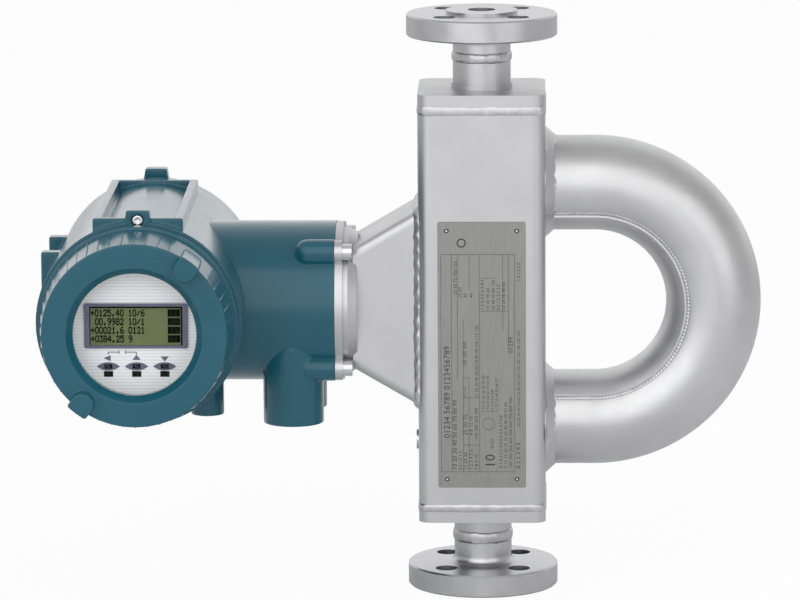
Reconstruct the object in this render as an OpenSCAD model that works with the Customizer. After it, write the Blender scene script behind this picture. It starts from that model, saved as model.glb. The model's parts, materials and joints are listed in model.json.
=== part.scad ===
// Coriolis mass flow meter, compact version: two bent measuring tubes inside a looped
// steel housing, with a cast two-compartment transmitter bolted to its side.
// Frame: the origin is the centre of the lower flange's sealing face. +Z runs along the
// flow axis, +X points to the loop and -Y to the display.

/* [Process connection] */
// Distance between the two sealing faces
face_to_face = 370; // [350:1:400]
// Outside diameter of each flange
flange_d = 95; // [90:1:110]
// Thickness of a flange behind its raised face
flange_t = 14; // [12:0.5:18]
// Diameter of the raised sealing face
raised_face_d = 45; // [40:1:48]
// Height of the raised sealing face
raised_face_h = 2; // [1:0.5:3]
// Diameter of the bolt circle
bolt_circle_d = 65; // [64:0.5:70]
// Diameter of each bolt hole
bolt_hole_d = 14; // [10:0.5:15]
// Number of bolt holes
bolt_count = 4; // [4:4:8]
// Bore of the flanges and of the flow splitters
bore_d = 17.3; // [12:0.1:20]
// Outside diameter of the necks between flange and box
neck_d = 36.4; // [32:0.1:40]
// Length of the hub from the back of the flange to its weld
hub_l = 18; // [12:0.5:24]
// Fillet radius at the root of the hub
hub_fillet = 5; // [2:0.5:7]

/* [Sensor box] */
// Width and depth of the square box
box_w = 80; // [78:1:90]
// Height of the box over its end caps
box_h = 272; // [262:1:290]
// Wall of the box
box_wall = 4; // [3:0.5:6]
// Corner radius of the box
box_r = 8; // [4:0.5:9]
// Thickness of the end caps
cap_t = 6.6; // [5:0.1:9]
// Height of the raised ring round the neck on each cap
cap_ring_h = 3; // [1:0.5:5]

/* [Loop housing] */
// Outside diameter of the loop housing
loop_d = 58.6; // [57:0.1:61]
// Wall of the loop housing
loop_wall = 2.6; // [2:0.1:4]
// Bend radius of the loop at its centreline
loop_r = 75.85; // [72:0.05:80]
// Distance from the flow axis to the centre of the bend
loop_x = 71; // [66:1:90]
// Half of the angle that the closing strip covers on the inner side
strip_angle = 53; // [35:1:70]
// How far the closing strip stands proud of the housing
strip_rise = 1.2; // [0.4:0.1:2]
// Length of the flared collars where the loop leaves the box
collar_l = 5.5; // [3:0.5:8]
// How far the flared collars spread round the loop
collar_rise = 5.7; // [3:0.1:7]

/* [Measuring tubes] */
// Outside diameter of each measuring tube
tube_d = 10; // [8:0.1:11]
// Wall of each measuring tube
tube_wall = 1; // [0.6:0.1:1.5]
// Distance between the two tubes' centrelines
tube_gap = 28; // [26:0.5:30]
// Radius of the bend between the splitter and the loop
tube_bend_r = 30; // [26:1:31]
// Outside diameter of the splitter block inside the box
splitter_d = 52; // [48:1:60]
// Thickness of each brace plate
brace_t = 1.5; // [1:0.1:2.5]
// Diameter of the coil windings
coil_d = 11.2; // [9:0.1:13]
// Diameter of the magnets
magnet_d = 5.4; // [4:0.1:6]
// Angle from the loop's apex to each pick-off
pickoff_angle = 58; // [45:1:70]

/* [Adapter] */
// Height of the adapter where it meets the box
adapter_h = 125.4; // [110:0.1:140]
// Height of the adapter at its small end
adapter_small_h = 77.4; // [70:0.1:90]
// Depth of the adapter, front to back
adapter_depth = 66; // [60:1:70]
// Sheet thickness of the adapter
adapter_wall = 3; // [2:0.5:4]
// Distance from the flow axis to the adapter's small end
adapter_end_x = 81; // [80:0.5:86]
// Radius of the adapter flange
adapter_flange_r = 50; // [49.5:0.5:56]
// Thickness of the adapter flange
adapter_flange_t = 4.7; // [4:0.1:6]
// Radius of the turned shoulder on the adapter flange
shoulder_r = 46.3; // [45:0.1:47]
// Radius at the end of the shoulder's taper
shoulder_end_r = 42.9; // [42:0.1:44]
// Half of the spacing between the adapter screws
screw_half = 37; // [36:0.5:40]
// Thread diameter of the adapter screws
screw_d = 6; // [5:0.5:8]

/* [Transmitter housing] */
// Distance from the flow axis to the transmitter's axis
tx_x = 212; // [205:1:225]
// Outside radius of the transmitter body
body_r = 64; // [62:0.5:68]
// Distance from the flow axis plane to the front seat
front_y = 84; // [80:1:95]
// Distance from the flow axis plane to the rear seat
rear_y = 95; // [90:1:110]
// Wall of the casting
cast_wall = 5.5; // [4:0.5:6]
// Place of the partition between the two compartments
partition_y = 18; // [14:1:19]
// Thickness of the partition
partition_t = 6; // [4:0.5:7]
// Outside radius of the neck towards the adapter
neck_r = 50.5; // [50:0.5:53]
// Distance from the flow axis to the neck's end face
neck_end_x = 92; // [90:0.5:98]
// Distance from the flow axis to the cable entries
entry_x = 119; // [117:0.5:122]
// Half of the spacing between the two cable entries
entry_half = 26; // [24:0.5:27]
// Outside radius of the cable entries
entry_r = 19; // [16:0.5:20]
// Bore diameter of the cable entries' threads
entry_bore_d = 18.5; // [16:0.1:24]
// Depth of the entries' end faces below the transmitter's axis
entry_drop = 73.4; // [68:0.1:80]
// Width of the name plate frame on top
frame_w = 56; // [50:1:62]
// Wall of the name plate frame
frame_wall = 5.4; // [4:0.1:7]
// How far the name plate frame stands over the body's crest
frame_rise = 1.8; // [1.2:0.1:4]

/* [Covers] */
// How far the covers' seat rings lie inside the body's radius
ring_inset = 2; // [1:0.5:3]
// Thickness of both covers' seat rings
ring_t = 7; // [5:0.5:9]
// How far the grip band lies inside the body's radius where it meets the ring
band_inset = 4; // [3.5:0.5:5]
// How far the grip band lies inside the body's radius at the cover's face
face_inset = 7; // [6.5:0.5:8.5]
// Height of the display cover over its seat
display_cover_h = 42; // [38:1:50]
// Height of the terminal cover over its seat
terminal_cover_h = 29; // [24:1:36]
// Number of ribs round each cover
rib_count = 48; // [36:4:60]
// Depth of the thread that each cover screws in
thread_l = 14; // [10:1:16]
// Wall of the casting outside the cover threads
thread_wall = 10; // [9.5:0.1:10.5]
// Width of the cover's rim between the window's opening and the body's radius
window_rim = 26; // [25:0.5:28.5]
// Thickness of the window glass
glass_t = 6; // [4:0.5:7]
// How far the wrench lugs stand out of the cover's face
lug_h = 7; // [3:0.5:9]
// Width of the wrench lugs
lug_w = 14; // [10:1:18]
// Angle of the wrench lugs above the horizontal
lug_angle = 52.5; // [0:0.5:90]

/* [Display] */
// Width of the display's bezel
bezel_w = 64; // [60:0.5:66]
// Height of the display's bezel
bezel_h = 28; // [26:0.5:30]
// Width of the liquid crystal panel
lcd_w = 57.4; // [52:0.1:58]
// Height of the liquid crystal panel
lcd_h = 24.5; // [20:0.1:25]
// Distance between the optical keys
key_pitch = 17.4; // [16:0.1:18]
// Width of the optical keys
key_w = 14.2; // [10:0.1:15]
// Height of the optical keys
key_h = 5.2; // [4:0.1:6]

/* [Boards and terminals] */
// Thickness of the circuit boards
board_t = 1.6; // [1:0.2:2.4]
// Gap between the circuit boards and the casting's inner wall
board_gap = 11.5; // [10.5:0.5:13.5]
// Diameter of the stand-offs' collars
standoff_d = 8; // [7:0.5:9]
// Diameter of the stand-offs' shanks
shank_d = 5; // [3:0.5:6]
// Width of the terminal block
block_w = 76; // [70:1:82]
// Height of the terminal block
block_h = 24; // [20:1:30]
// Depth of the terminal block
block_depth = 26; // [20:1:32]
// Number of terminals
terminal_count = 8; // [6:1:9]

/* [Fits] */
// Radial clearance between pieces that slide or screw together
fit = 0.05; // [0.03:0.01:0.1]
// Clearance round seals, boards and loose covers
clearance = 0.15; // [0.1:0.05:0.25]
// Cord diameter of the seals
seal_d = 2; // [1.6:0.1:2.4]

/* [Hidden] */
$fn = 72;
// Cuts run past the faces they cut by this much
eps = 1;

steel = [0.78, 0.78, 0.79];
bead_steel = [0.70, 0.70, 0.71];
paint = [0.20, 0.41, 0.47];

axis_z = face_to_face / 2;
flange_back = raised_face_h + flange_t;
hub_top = flange_back + hub_l;
rim_chamfer = 1;

box_z = axis_z - box_h / 2;
cap_top = box_z + cap_t;
cap_ring_rise = 1;

loop_ro = loop_d / 2;
low_z = axis_z - loop_r;
high_z = axis_z + loop_r;
sleeve_l = collar_l + 1.5;

tube_y = tube_gap / 2;
tube_start_z = low_z - tube_bend_r;
splitter_top = tube_start_z - 1;
socket_l = 6;
channel_d = tube_d - 2 * tube_wall;
plenum_h = 8;
split_z = splitter_top - socket_l - plenum_h - 2;
brace_x = [box_w / 2 + 10, box_w / 2 + 22];
brace_side = 2;
brace_rim = 3;

plate_w = 55;
plate_h = 169.5;
plate_t = 0.8;
plate_z = 156.7;
plate_r = 4;
rivet_inset = 5.5;
rivet_d = 2.4;
rivet_head_d = 4;
purge_z = box_z + 46;
purge_head_d = 12.7;
purge_thread_d = 8;
wire_window_r = 15;

shoulder_x = neck_end_x - adapter_flange_t;
shoulder_l = 3.3;
taper_l = 5.6;
feedthrough_r = 20;
screw_l = 17;
ear_r = 7.5;
boss_r = 8;
boss_l = 17;

inner_r = body_r - cast_wall;
frame_front = 82;
frame_back = 74;
frame_top = body_r + frame_rise;
lug_plate_x = body_r + 2;
lug_plate_z = 34;
lug_plate_t = 10;
lug_plate_front = -20;
lug_plate_rear = 38;
third_boss_x = 175;
third_boss_r = 10.5;
third_bore_d = 5;
lock_w = 16;
lock_depth = 11;
lock_top = body_r + 7;
lock_draft = 1.1;
lock_screw_z = body_r + 0.6;
lock_head_d = 6.9;
lock_bore_d = 7.8;
lock_thread_d = 4;
passage_r = 9;
passage_y = 38;
bushing_r = 6;
bushing_y = -22;

ring_r = body_r - ring_inset;
band_r = body_r - band_inset;
face_r = body_r - face_inset;
thread_r = body_r - thread_wall;
window_r = body_r - window_rim;
bevel_w = 4;
bevel_depth = 9;
glass_margin = 6;
glass_front = display_cover_h - bevel_depth - 1;
glass_back = glass_front - glass_t;
glass_r = window_r + glass_margin;
retainer_r = glass_r + 3;
retainer_t = 3.5;
cavity_r = thread_r - 4;
seal_r = thread_r + 3.1;
face_front = glass_back - retainer_t - 0.5;
face_t = 2;
face_plate_r = retainer_r - 1;
bezel_t = 1.2;
bezel_z = 3;
lcd_inset = 0.6;
key_z = -22.4;
key_t = 0.4;
window_w = 5.8;
window_h = 3.7;
window_t = 0.6;
window_drop = -4.8;
case_t = 12;
case_r = cavity_r - 5;
case_wall = 2;
board_r = inner_r - board_gap;
// The stand-offs lie just inside the display case's wall
standoff_half = (case_r - case_wall - standoff_d / 2 - 0.8) / sqrt(2);

// Distances of the boards in front of the partition
power_board_y = 24;
main_board_y = 52;
board_case_y = partition_y + front_y + face_front - face_t - case_t;

// Parts on the boards: each is [x, y, width, depth, height], its corner at x, y
display_chip = [-20, -8, 40, 16, 3];
main_chips = [[-20, -8, 16, 16, 2.5], [4, -8, 16, 16, 2.5]];
ribbon_socket = [-15, 26, 30, 7, 8];
converter = [-16, -14, 32, 28, 18];
capacitor_d = 12;
capacitor_h = 16;
capacitor_x = 14;
capacitor_z = -30;
nut_h = 2.4;

module along_x() rotate([0, 90, 0]) children();
module towards_rear() rotate([-90, 0, 0]) children();
module towards_front() rotate([90, 0, 0]) children();

// Places children at the transmitter's axis, at distance y from the flow axis plane
module at_body(y) translate([-tx_x, y, axis_z]) children();

module rounded_square(w, h, r) {
    square([w - 2 * r, h], center = true);
    square([w, h - 2 * r], center = true);
    for (x = [-1, 1], y = [-1, 1])
        translate([x * (w / 2 - r), y * (h / 2 - r)]) circle(r = r);
}

// A ring-shaped seal lying flat, its underside at z = 0
module seal(r) {
    translate([0, 0, seal_d / 2]) rotate_extrude() translate([r, 0]) circle(d = seal_d, $fn = 32);
}

// Puts a piece of the lower end at the upper end as well
module upper_end() translate([0, 0, face_to_face]) mirror([0, 0, 1]) children();

// ---- Flanges, splitters, box and loop ----

module process_flange() {
    root_r = neck_d / 2 + hub_fillet;
    difference() {
        rotate_extrude() {
            polygon([
                [0, 0], [raised_face_d / 2, 0], [raised_face_d / 2, raised_face_h],
                [flange_d / 2 - rim_chamfer, raised_face_h],
                [flange_d / 2, raised_face_h + rim_chamfer],
                [flange_d / 2, flange_back - rim_chamfer],
                [flange_d / 2 - rim_chamfer, flange_back],
                [neck_d / 2, flange_back], [neck_d / 2, hub_top], [0, hub_top],
            ]);
            difference() {
                translate([neck_d / 2, flange_back]) square(hub_fillet);
                translate([root_r, flange_back + hub_fillet]) circle(r = hub_fillet);
            }
        }
        translate([0, 0, -eps]) cylinder(d = bore_d, h = hub_top + 2 * eps);
        for (i = [0 : bolt_count - 1])
            rotate((i + 0.5) * 360 / bolt_count) translate([bolt_circle_d / 2, 0, 0])
                cylinder(d = bolt_hole_d, h = flange_back + eps);
    }
}

module lower_flange() color(steel) process_flange();
module upper_flange() color(steel) upper_end() process_flange();

// Widens the bore to a cone, then leads the flow into the two tube sockets
module splitter() {
    socket_z = splitter_top - socket_l;
    difference() {
        union() {
            translate([0, 0, hub_top]) cylinder(d = neck_d, h = cap_top - hub_top);
            translate([0, 0, cap_top]) cylinder(d = splitter_d, h = splitter_top - cap_top);
        }
        translate([0, 0, hub_top - eps]) cylinder(d = bore_d, h = split_z - hub_top + eps);
        translate([0, 0, split_z])
            cylinder(d1 = bore_d, d2 = tube_gap + channel_d + 1, h = plenum_h);
        for (y = [-tube_y, tube_y]) {
            translate([0, y, split_z + plenum_h / 2])
                cylinder(d = channel_d, h = socket_z - split_z - plenum_h / 2 + eps);
            translate([0, y, socket_z]) cylinder(d = tube_d + 2 * fit, h = socket_l + eps);
        }
    }
}

module inlet_splitter() color(steel) splitter();
module outlet_splitter() color(steel) upper_end() splitter();

module end_cap() {
    ring_d = neck_d + 2 * cap_ring_rise;
    difference() {
        union() {
            translate([0, 0, box_z]) linear_extrude(cap_t) rounded_square(box_w, box_w, box_r);
            translate([0, 0, box_z - cap_ring_h]) cylinder(d = ring_d, h = cap_ring_h + eps);
        }
        translate([0, 0, box_z - cap_ring_h - eps])
            cylinder(d = neck_d + 2 * fit, h = cap_ring_h + cap_t + 2 * eps);
    }
}

module lower_end_cap() color(steel) end_cap();
module upper_end_cap() color(steel) upper_end() end_cap();

module sensor_box() color(steel) {
    inner_w = box_w - 2 * box_wall;
    difference() {
        union() {
            translate([0, 0, cap_top]) linear_extrude(box_h - 2 * cap_t)
                rounded_square(box_w, box_w, box_r);
            for (z = [low_z, high_z]) translate([box_w / 2 - eps, 0, z]) along_x()
                rotate_extrude() polygon([
                    [0, 0], [loop_ro + collar_rise, 0], [loop_ro + collar_rise, eps],
                    [loop_ro + 1, collar_l + eps], [0, collar_l + eps],
                ]);
        }
        translate([0, 0, cap_top - eps]) linear_extrude(box_h)
            rounded_square(inner_w, inner_w, box_r - box_wall + eps);
        for (z = [low_z, high_z]) translate([0, 0, z]) along_x()
            cylinder(r = loop_ro + fit, h = box_w);
        translate([-box_w, 0, axis_z]) along_x() cylinder(r = wire_window_r, h = box_w);
        translate([-box_w, 0, purge_z]) along_x() cylinder(d = purge_thread_d + 2 * fit, h = box_w);
        rivet_places() cylinder(d = rivet_d + 2 * fit, h = box_wall);
    }
}

// The looped path that the housing follows, for a profile drawn at its centre.
// The profile's -X points to the inside of the loop.
module loop_bend() {
    translate([loop_x, 0, axis_z]) rotate([90, 0, 0]) rotate([0, 0, -90])
        rotate_extrude(angle = 180) translate([loop_r, 0]) children();
}

module loop_leg(z, inwards, x0, x1) {
    translate([x0, 0, z]) along_x() rotate([0, 0, inwards]) linear_extrude(x1 - x0) children();
}

// Wedge on the profile's -X side
module inner_wedge(half) {
    reach = loop_d;
    polygon([[0, 0], [-reach, reach * tan(half)], [-reach, -reach * tan(half)]]);
}

module shell_profile() {
    difference() {
        circle(r = loop_ro);
        circle(r = loop_ro - loop_wall);
        inner_wedge(strip_angle);
    }
}

module strip_profile() {
    intersection() {
        difference() {
            circle(r = loop_ro + strip_rise);
            circle(r = loop_ro + strip_rise - loop_wall);
        }
        inner_wedge(strip_angle - 0.3);
    }
}

module loop_shell() color(steel) {
    sleeve_x = box_w / 2 + sleeve_l;
    loop_bend() shell_profile();
    for (leg = [[low_z, 0], [high_z, 180]]) {
        loop_leg(leg[0], leg[1], sleeve_x, loop_x) shell_profile();
        loop_leg(leg[0], leg[1], box_w / 2 - box_wall, sleeve_x) difference() {
            circle(r = loop_ro);
            circle(r = loop_ro - loop_wall);
        }
    }
}

module loop_strip() color(bead_steel) {
    loop_bend() strip_profile();
    for (leg = [[low_z, 0], [high_z, 180]])
        loop_leg(leg[0], leg[1], box_w / 2 + sleeve_l, loop_x) strip_profile();
}

// ---- Name plate and plugs ----

module rivet_places() {
    for (x = [-1, 1], z = [-1, 1])
        translate([
            x * (plate_w / 2 - rivet_inset), -box_w / 2, plate_z + z * (plate_h / 2 - rivet_inset),
        ]) towards_rear() children();
}

module name_plate() color([0.62, 0.62, 0.63]) {
    difference() {
        translate([0, -box_w / 2, plate_z]) towards_front() linear_extrude(plate_t)
            rounded_square(plate_w, plate_h, plate_r);
        translate([0, -plate_t - eps, 0]) rivet_places()
            cylinder(d = rivet_d + 2 * fit, h = plate_t + 2 * eps);
    }
}

module plate_rivets() color([0.85, 0.85, 0.85]) {
    translate([0, -plate_t, 0]) rivet_places() {
        cylinder(d = rivet_d, h = plate_t + box_wall);
        rotate([180, 0, 0]) cylinder(d1 = rivet_head_d, d2 = rivet_head_d - 1.6, h = 1);
    }
}

module purge_plug() color([0.72, 0.72, 0.73]) {
    translate([-box_w / 2, 0, purge_z]) along_x() {
        cylinder(d = purge_thread_d, h = box_wall + 3);
        difference() {
            translate([0, 0, -2]) cylinder(d = purge_head_d, h = 2);
            translate([0, 0, -2 - eps]) cylinder(d = 5, h = 1 + eps, $fn = 6);
        }
    }
}

// ---- Measuring tubes with their coils ----

module tube_bend(x, z, r, from, turn, d) {
    translate([x, 0, z]) rotate([90, 0, 0]) rotate([0, 0, from])
        rotate_extrude(angle = turn) translate([r, 0]) circle(d = d);
}

// Solid along one tube's path, its ends drawn out by extra
module tube_path(d, extra) {
    start_z = splitter_top - socket_l + clearance;
    leg_z = tube_start_z - start_z;
    translate([0, 0, start_z - extra]) cylinder(d = d, h = leg_z + extra);
    tube_bend(tube_bend_r, tube_start_z, tube_bend_r, 90, 90, d);
    translate([tube_bend_r, 0, low_z]) along_x() cylinder(d = d, h = loop_x - tube_bend_r);
    tube_bend(loop_x, axis_z, loop_r, -90, 180, d);
    translate([tube_bend_r, 0, high_z]) along_x() cylinder(d = d, h = loop_x - tube_bend_r);
    tube_bend(tube_bend_r, face_to_face - tube_start_z, tube_bend_r, 180, 90, d);
    translate([0, 0, face_to_face - tube_start_z]) cylinder(d = d, h = leg_z + extra);
}

module measuring_tube(side) {
    translate([0, side * tube_y, 0]) difference() {
        tube_path(tube_d, 0);
        tube_path(channel_d, eps);
    }
}

module front_tube() color([0.72, 0.73, 0.76]) measuring_tube(-1);
module rear_tube() color([0.72, 0.73, 0.76]) measuring_tube(1);

module tube_braces() color([0.66, 0.66, 0.68]) {
    brace_w = tube_gap + tube_d + 2 * brace_side;
    for (z = [low_z, high_z], x = brace_x) translate([x, 0, z]) difference() {
        cube([brace_t, brace_w, tube_d + 2 * brace_rim], center = true);
        for (y = [-tube_y, tube_y]) translate([-brace_t, y, 0]) along_x()
            cylinder(d = tube_d + 2 * fit, h = 2 * brace_t);
    }
}

// Local frame on the loop's centreline: x outwards, y across the tubes
module on_loop(angle) {
    translate([loop_x, 0, axis_z]) rotate([0, -angle, 0]) translate([loop_r, 0, 0]) children();
}

module loop_cutter(side, angle) {
    translate([0, side * tube_y, 0]) tube_bend(loop_x, axis_z, loop_r, angle - 20, 40, tube_d + 2 * fit);
}

saddle_w = 12;
coil_face = tube_y - tube_d / 2;

// Coil on the front tube: a saddle, and a bobbin that reaches to the middle
module coil(angle) {
    bobbin_l = coil_face - 0.6;
    difference() {
        on_loop(angle) {
            translate([-saddle_w / 2, -tube_y - 1, -saddle_w / 2])
                cube([saddle_w, tube_d / 2 + 1.6, saddle_w]);
            translate([0, -coil_face, 0]) towards_rear() difference() {
                union() {
                    cylinder(d = coil_d + 2, h = 1.4);
                    cylinder(d = coil_d, h = bobbin_l);
                    translate([0, 0, bobbin_l - 1]) cylinder(d = coil_d + 2, h = 1);
                }
                translate([0, 0, 1]) cylinder(d = magnet_d + 1, h = bobbin_l);
            }
        }
        loop_cutter(-1, angle);
    }
}

// Magnet on the rear tube: it dips into the coil without touching it
module magnet(angle) {
    difference() {
        on_loop(angle) {
            translate([-saddle_w / 2, tube_y - tube_d / 2 - 0.6, -saddle_w / 2])
                cube([saddle_w, tube_d / 2 + 1.6, saddle_w]);
            translate([0, coil_face, 0]) towards_front() {
                cylinder(d = magnet_d + 4, h = 4);
                cylinder(d = magnet_d, h = coil_face + 5);
            }
        }
        loop_cutter(1, angle);
    }
}

module drive_coil() color([0.72, 0.42, 0.22]) coil(0);
module drive_magnet() color([0.35, 0.35, 0.38]) magnet(0);
module inlet_pickoff_coil() color([0.72, 0.42, 0.22]) coil(-pickoff_angle);
module inlet_pickoff_magnet() color([0.35, 0.35, 0.38]) magnet(-pickoff_angle);
module outlet_pickoff_coil() color([0.72, 0.42, 0.22]) coil(pickoff_angle);
module outlet_pickoff_magnet() color([0.35, 0.35, 0.38]) magnet(pickoff_angle);

module temperature_sensor() color([0.85, 0.85, 0.82]) {
    clamp_l = 8;
    clamp_d = tube_d + 4;
    translate([tube_bend_r + 2, -tube_y, low_z]) along_x() {
        difference() {
            cylinder(d = clamp_d, h = clamp_l);
            translate([0, 0, -eps]) cylinder(d = tube_d + 2 * fit, h = clamp_l + 2 * eps);
        }
        translate([0, -clamp_d / 2 - 1, -1]) cylinder(d = 3, h = clamp_l + 2);
    }
}

// ---- Adapter between sensor and transmitter ----

// Rounded rectangle section of the adapter at distance x, grown by grow
module adapter_section(x, h, grow) {
    r = 5 + grow;
    for (y = [-1, 1], z = [-1, 1])
        translate([-x, y * (adapter_depth / 2 - 5), axis_z + z * (h / 2 - 5)])
            along_x() cylinder(r = r, h = 0.01, $fn = 32);
}

module adapter_shell() color(steel) {
    flare = (adapter_h - adapter_small_h) / (adapter_end_x - box_w / 2);
    difference() {
        hull() {
            adapter_section(adapter_end_x, adapter_small_h, 0);
            adapter_section(box_w / 2 + 0.01, adapter_h, 0);
        }
        hull() {
            adapter_section(adapter_end_x + eps, adapter_small_h - flare * eps, -adapter_wall);
            adapter_section(box_w / 2 - eps, adapter_h + flare * eps, -adapter_wall);
        }
        at_shoulder() cylinder(
            r1 = shoulder_r + fit + eps * (shoulder_r - shoulder_end_r) / taper_l,
            r2 = shoulder_end_r + fit, h = taper_l + eps
        );
    }
}

// Start of the shoulder's taper, drawn back by eps, looking along +X
module at_shoulder() translate([-shoulder_x + shoulder_l - eps, 0, axis_z]) along_x() children();

module screw_places(x) {
    for (y = [-screw_half, screw_half], z = [-screw_half, screw_half])
        translate([-x, y, axis_z + z]) along_x() children();
}

module adapter_flange() color(steel) {
    taper_end = adapter_flange_t + shoulder_l + taper_l;
    groove_r = neck_r - 3.5;
    difference() {
        union() {
            translate([-neck_end_x, 0, axis_z]) along_x() rotate_extrude() polygon([
                [0, 0], [adapter_flange_r, 0], [adapter_flange_r, adapter_flange_t],
                [shoulder_r, adapter_flange_t], [shoulder_r, adapter_flange_t + shoulder_l],
                [shoulder_end_r, taper_end], [0, taper_end],
            ]);
            screw_places(neck_end_x) cylinder(r = ear_r, h = adapter_flange_t);
        }
        translate([-neck_end_x - eps, 0, axis_z]) along_x() {
            cylinder(r = feedthrough_r, h = taper_end + 2 * eps);
            translate([0, 0, 10]) cylinder(r1 = feedthrough_r, r2 = 34, h = taper_end);
            difference() {
                cylinder(r = groove_r + seal_d / 2 + clearance, h = seal_d + eps);
                translate([0, 0, -eps])
                    cylinder(r = groove_r - seal_d / 2 - clearance, h = seal_d + 3 * eps);
            }
        }
        screw_places(neck_end_x + eps) cylinder(d = screw_d + 0.6, h = adapter_flange_t + 2 * eps);
        // The screw heads stand clear of the shoulder
        screw_places(shoulder_x) cylinder(d = screw_d + 4.6, h = taper_end);
    }
}

module adapter_seal() color([0.12, 0.12, 0.13]) {
    translate([-neck_end_x, 0, axis_z]) along_x() seal(neck_r - 3.5);
}

module adapter_screws() color([0.80, 0.80, 0.82]) {
    screw_places(shoulder_x) {
        difference() {
            cylinder(d = screw_d + 4, h = screw_d);
            translate([0, 0, screw_d / 2]) cylinder(d = 5.6, h = screw_d, $fn = 6);
        }
        translate([0, 0, -screw_l]) cylinder(d = screw_d, h = screw_l + eps);
    }
}

module wire_feedthrough() color([0.30, 0.42, 0.30]) {
    body_l = 8;
    translate([-neck_end_x + 0.5, 0, axis_z]) along_x() {
        cylinder(r = feedthrough_r - fit, h = body_l);
        for (i = [0 : 8]) rotate(i * 40) translate([12, 0, -5]) cylinder(d = 1.5, h = body_l + 10);
    }
}

// ---- Transmitter casting ----

// Solid round the casting's outside
module casting_outside() {
    at_body(-front_y) towards_rear() cylinder(r = body_r, h = front_y + rear_y);
    translate([-tx_x, 0, axis_z]) along_x() cylinder(r = neck_r, h = tx_x - neck_end_x);
    screw_places(neck_end_x + boss_l) {
        cylinder(r = boss_r, h = boss_l);
        sphere(r = boss_r);
    }
    for (y = [-entry_half, entry_half]) translate([-entry_x, y, axis_z - entry_drop])
        cylinder(r1 = entry_r, r2 = entry_r + 0.6, h = entry_drop);
    translate([-third_boss_x, 0, axis_z - entry_drop]) cylinder(r = third_boss_r, h = entry_drop);
    for (y = [lug_plate_front, lug_plate_rear])
        translate([-tx_x - lug_plate_x, y, axis_z - lug_plate_z])
            cube([lug_plate_x, lug_plate_t, 2 * lug_plate_z]);
    translate([-tx_x - frame_w / 2, -frame_front, axis_z])
        cube([frame_w, frame_front + frame_back, frame_top]);
    lock_boss(-front_y);
    lock_boss(rear_y - lock_depth);
}

// Its sides draw in above the body
module lock_boss(y) {
    top = lock_w / 2 - lock_draft;
    at_body(y + lock_depth) rotate([90, 0, 0]) linear_extrude(lock_depth) polygon([
        [-lock_w / 2, 0], [lock_w / 2, 0], [lock_w / 2, body_r], [top, lock_top],
        [-top, lock_top], [-lock_w / 2, body_r],
    ]);
}

// The recess in the name plate frame, down to the round body
module frame_recess() {
    length = frame_front + frame_back - 2 * frame_wall;
    width = frame_w - 2 * frame_wall;
    difference() {
        translate([-tx_x - width / 2, -frame_front + frame_wall, axis_z])
            cube([width, length, 2 * frame_top]);
        at_body(-front_y) towards_rear() cylinder(r = body_r - 0.8, h = front_y + rear_y);
        lock_boss(-front_y);
    }
}

// Compartments, neck cavity and the passages between them
module casting_inside() {
    rear_start = partition_y + partition_t;
    at_body(-front_y - eps) towards_rear() {
        cylinder(r = thread_r, h = thread_l + 2 + eps);
        cylinder(r = inner_r, h = front_y + partition_y + eps);
    }
    at_body(rear_start) towards_rear() cylinder(r = inner_r, h = rear_y - rear_start + eps);
    difference() {
        translate([-tx_x, 0, axis_z]) along_x()
            cylinder(r = neck_r - cast_wall - 1.5, h = tx_x - neck_end_x + eps);
        at_body(-front_y) towards_rear() cylinder(r = body_r, h = front_y + rear_y);
    }
    translate([-tx_x, passage_y, axis_z]) along_x() cylinder(r = passage_r, h = body_r);
    translate([-tx_x, bushing_y, axis_z]) along_x() cylinder(r = bushing_r + fit, h = body_r);
}

module transmitter_housing() color(paint) {
    difference() {
        union() {
            difference() {
                casting_outside();
                frame_recess();
                casting_inside();
            }
            // Thread lands in front of and behind the compartments
            for (land = [[-front_y, 0], [rear_y - thread_l - 2, 0]]) at_body(land[0]) towards_rear()
                difference() {
                    cylinder(r = inner_r + 1, h = thread_l + 2);
                    translate([0, 0, -eps]) cylinder(r = thread_r, h = thread_l + 2 + 2 * eps);
                }
        }
        screw_places(neck_end_x + boss_l - 3) cylinder(d = screw_d + 2 * fit, h = boss_l);
        for (y = [-entry_half, entry_half]) translate([-entry_x, y, axis_z - entry_drop - eps])
            cylinder(d = entry_bore_d, h = entry_drop - neck_r / 2 + eps);
        translate([-third_boss_x, 0, axis_z - entry_drop - eps])
            cylinder(d = third_bore_d, h = 12 + eps);
        lock_bore(-front_y, -1);
        lock_bore(rear_y, 1);
    }
}

module lock_bore(y, way) {
    at_body(y) translate([0, 0, lock_screw_z]) rotate([way * 90, 0, 0]) {
        translate([0, 0, -eps]) cylinder(d = lock_bore_d, h = lock_thread_d + 1 + eps);
        cylinder(d = lock_thread_d + 2 * fit, h = lock_depth - 2);
    }
}

// Its head rests on the step of the bore in the lock boss
module lock_screw(y, way) {
    at_body(y) translate([0, 0, lock_screw_z]) rotate([way * 90, 0, 0]) {
        difference() {
            translate([0, 0, 1]) cylinder(d = lock_head_d, h = lock_thread_d);
            cylinder(d = 3.4, h = 3, $fn = 6);
        }
        translate([0, 0, lock_thread_d])
            cylinder(d = lock_thread_d, h = lock_depth - lock_thread_d - 3);
    }
}

module front_lock_screw() color([0.85, 0.85, 0.86]) lock_screw(-front_y, -1);
module rear_lock_screw() color([0.85, 0.85, 0.86]) lock_screw(rear_y, 1);

module bulkhead_bushing() color([0.15, 0.15, 0.16]) {
    inner_x = sqrt(pow(inner_r, 2) - pow(bushing_r, 2));
    translate([-tx_x + inner_x - 2, bushing_y, axis_z]) along_x() {
        cylinder(r = bushing_r, h = cast_wall + 4);
        cylinder(r = bushing_r - 3, h = cast_wall + 12);
    }
}

// ---- Covers: drawn with z = 0 on the seat and +z outwards ----

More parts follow.
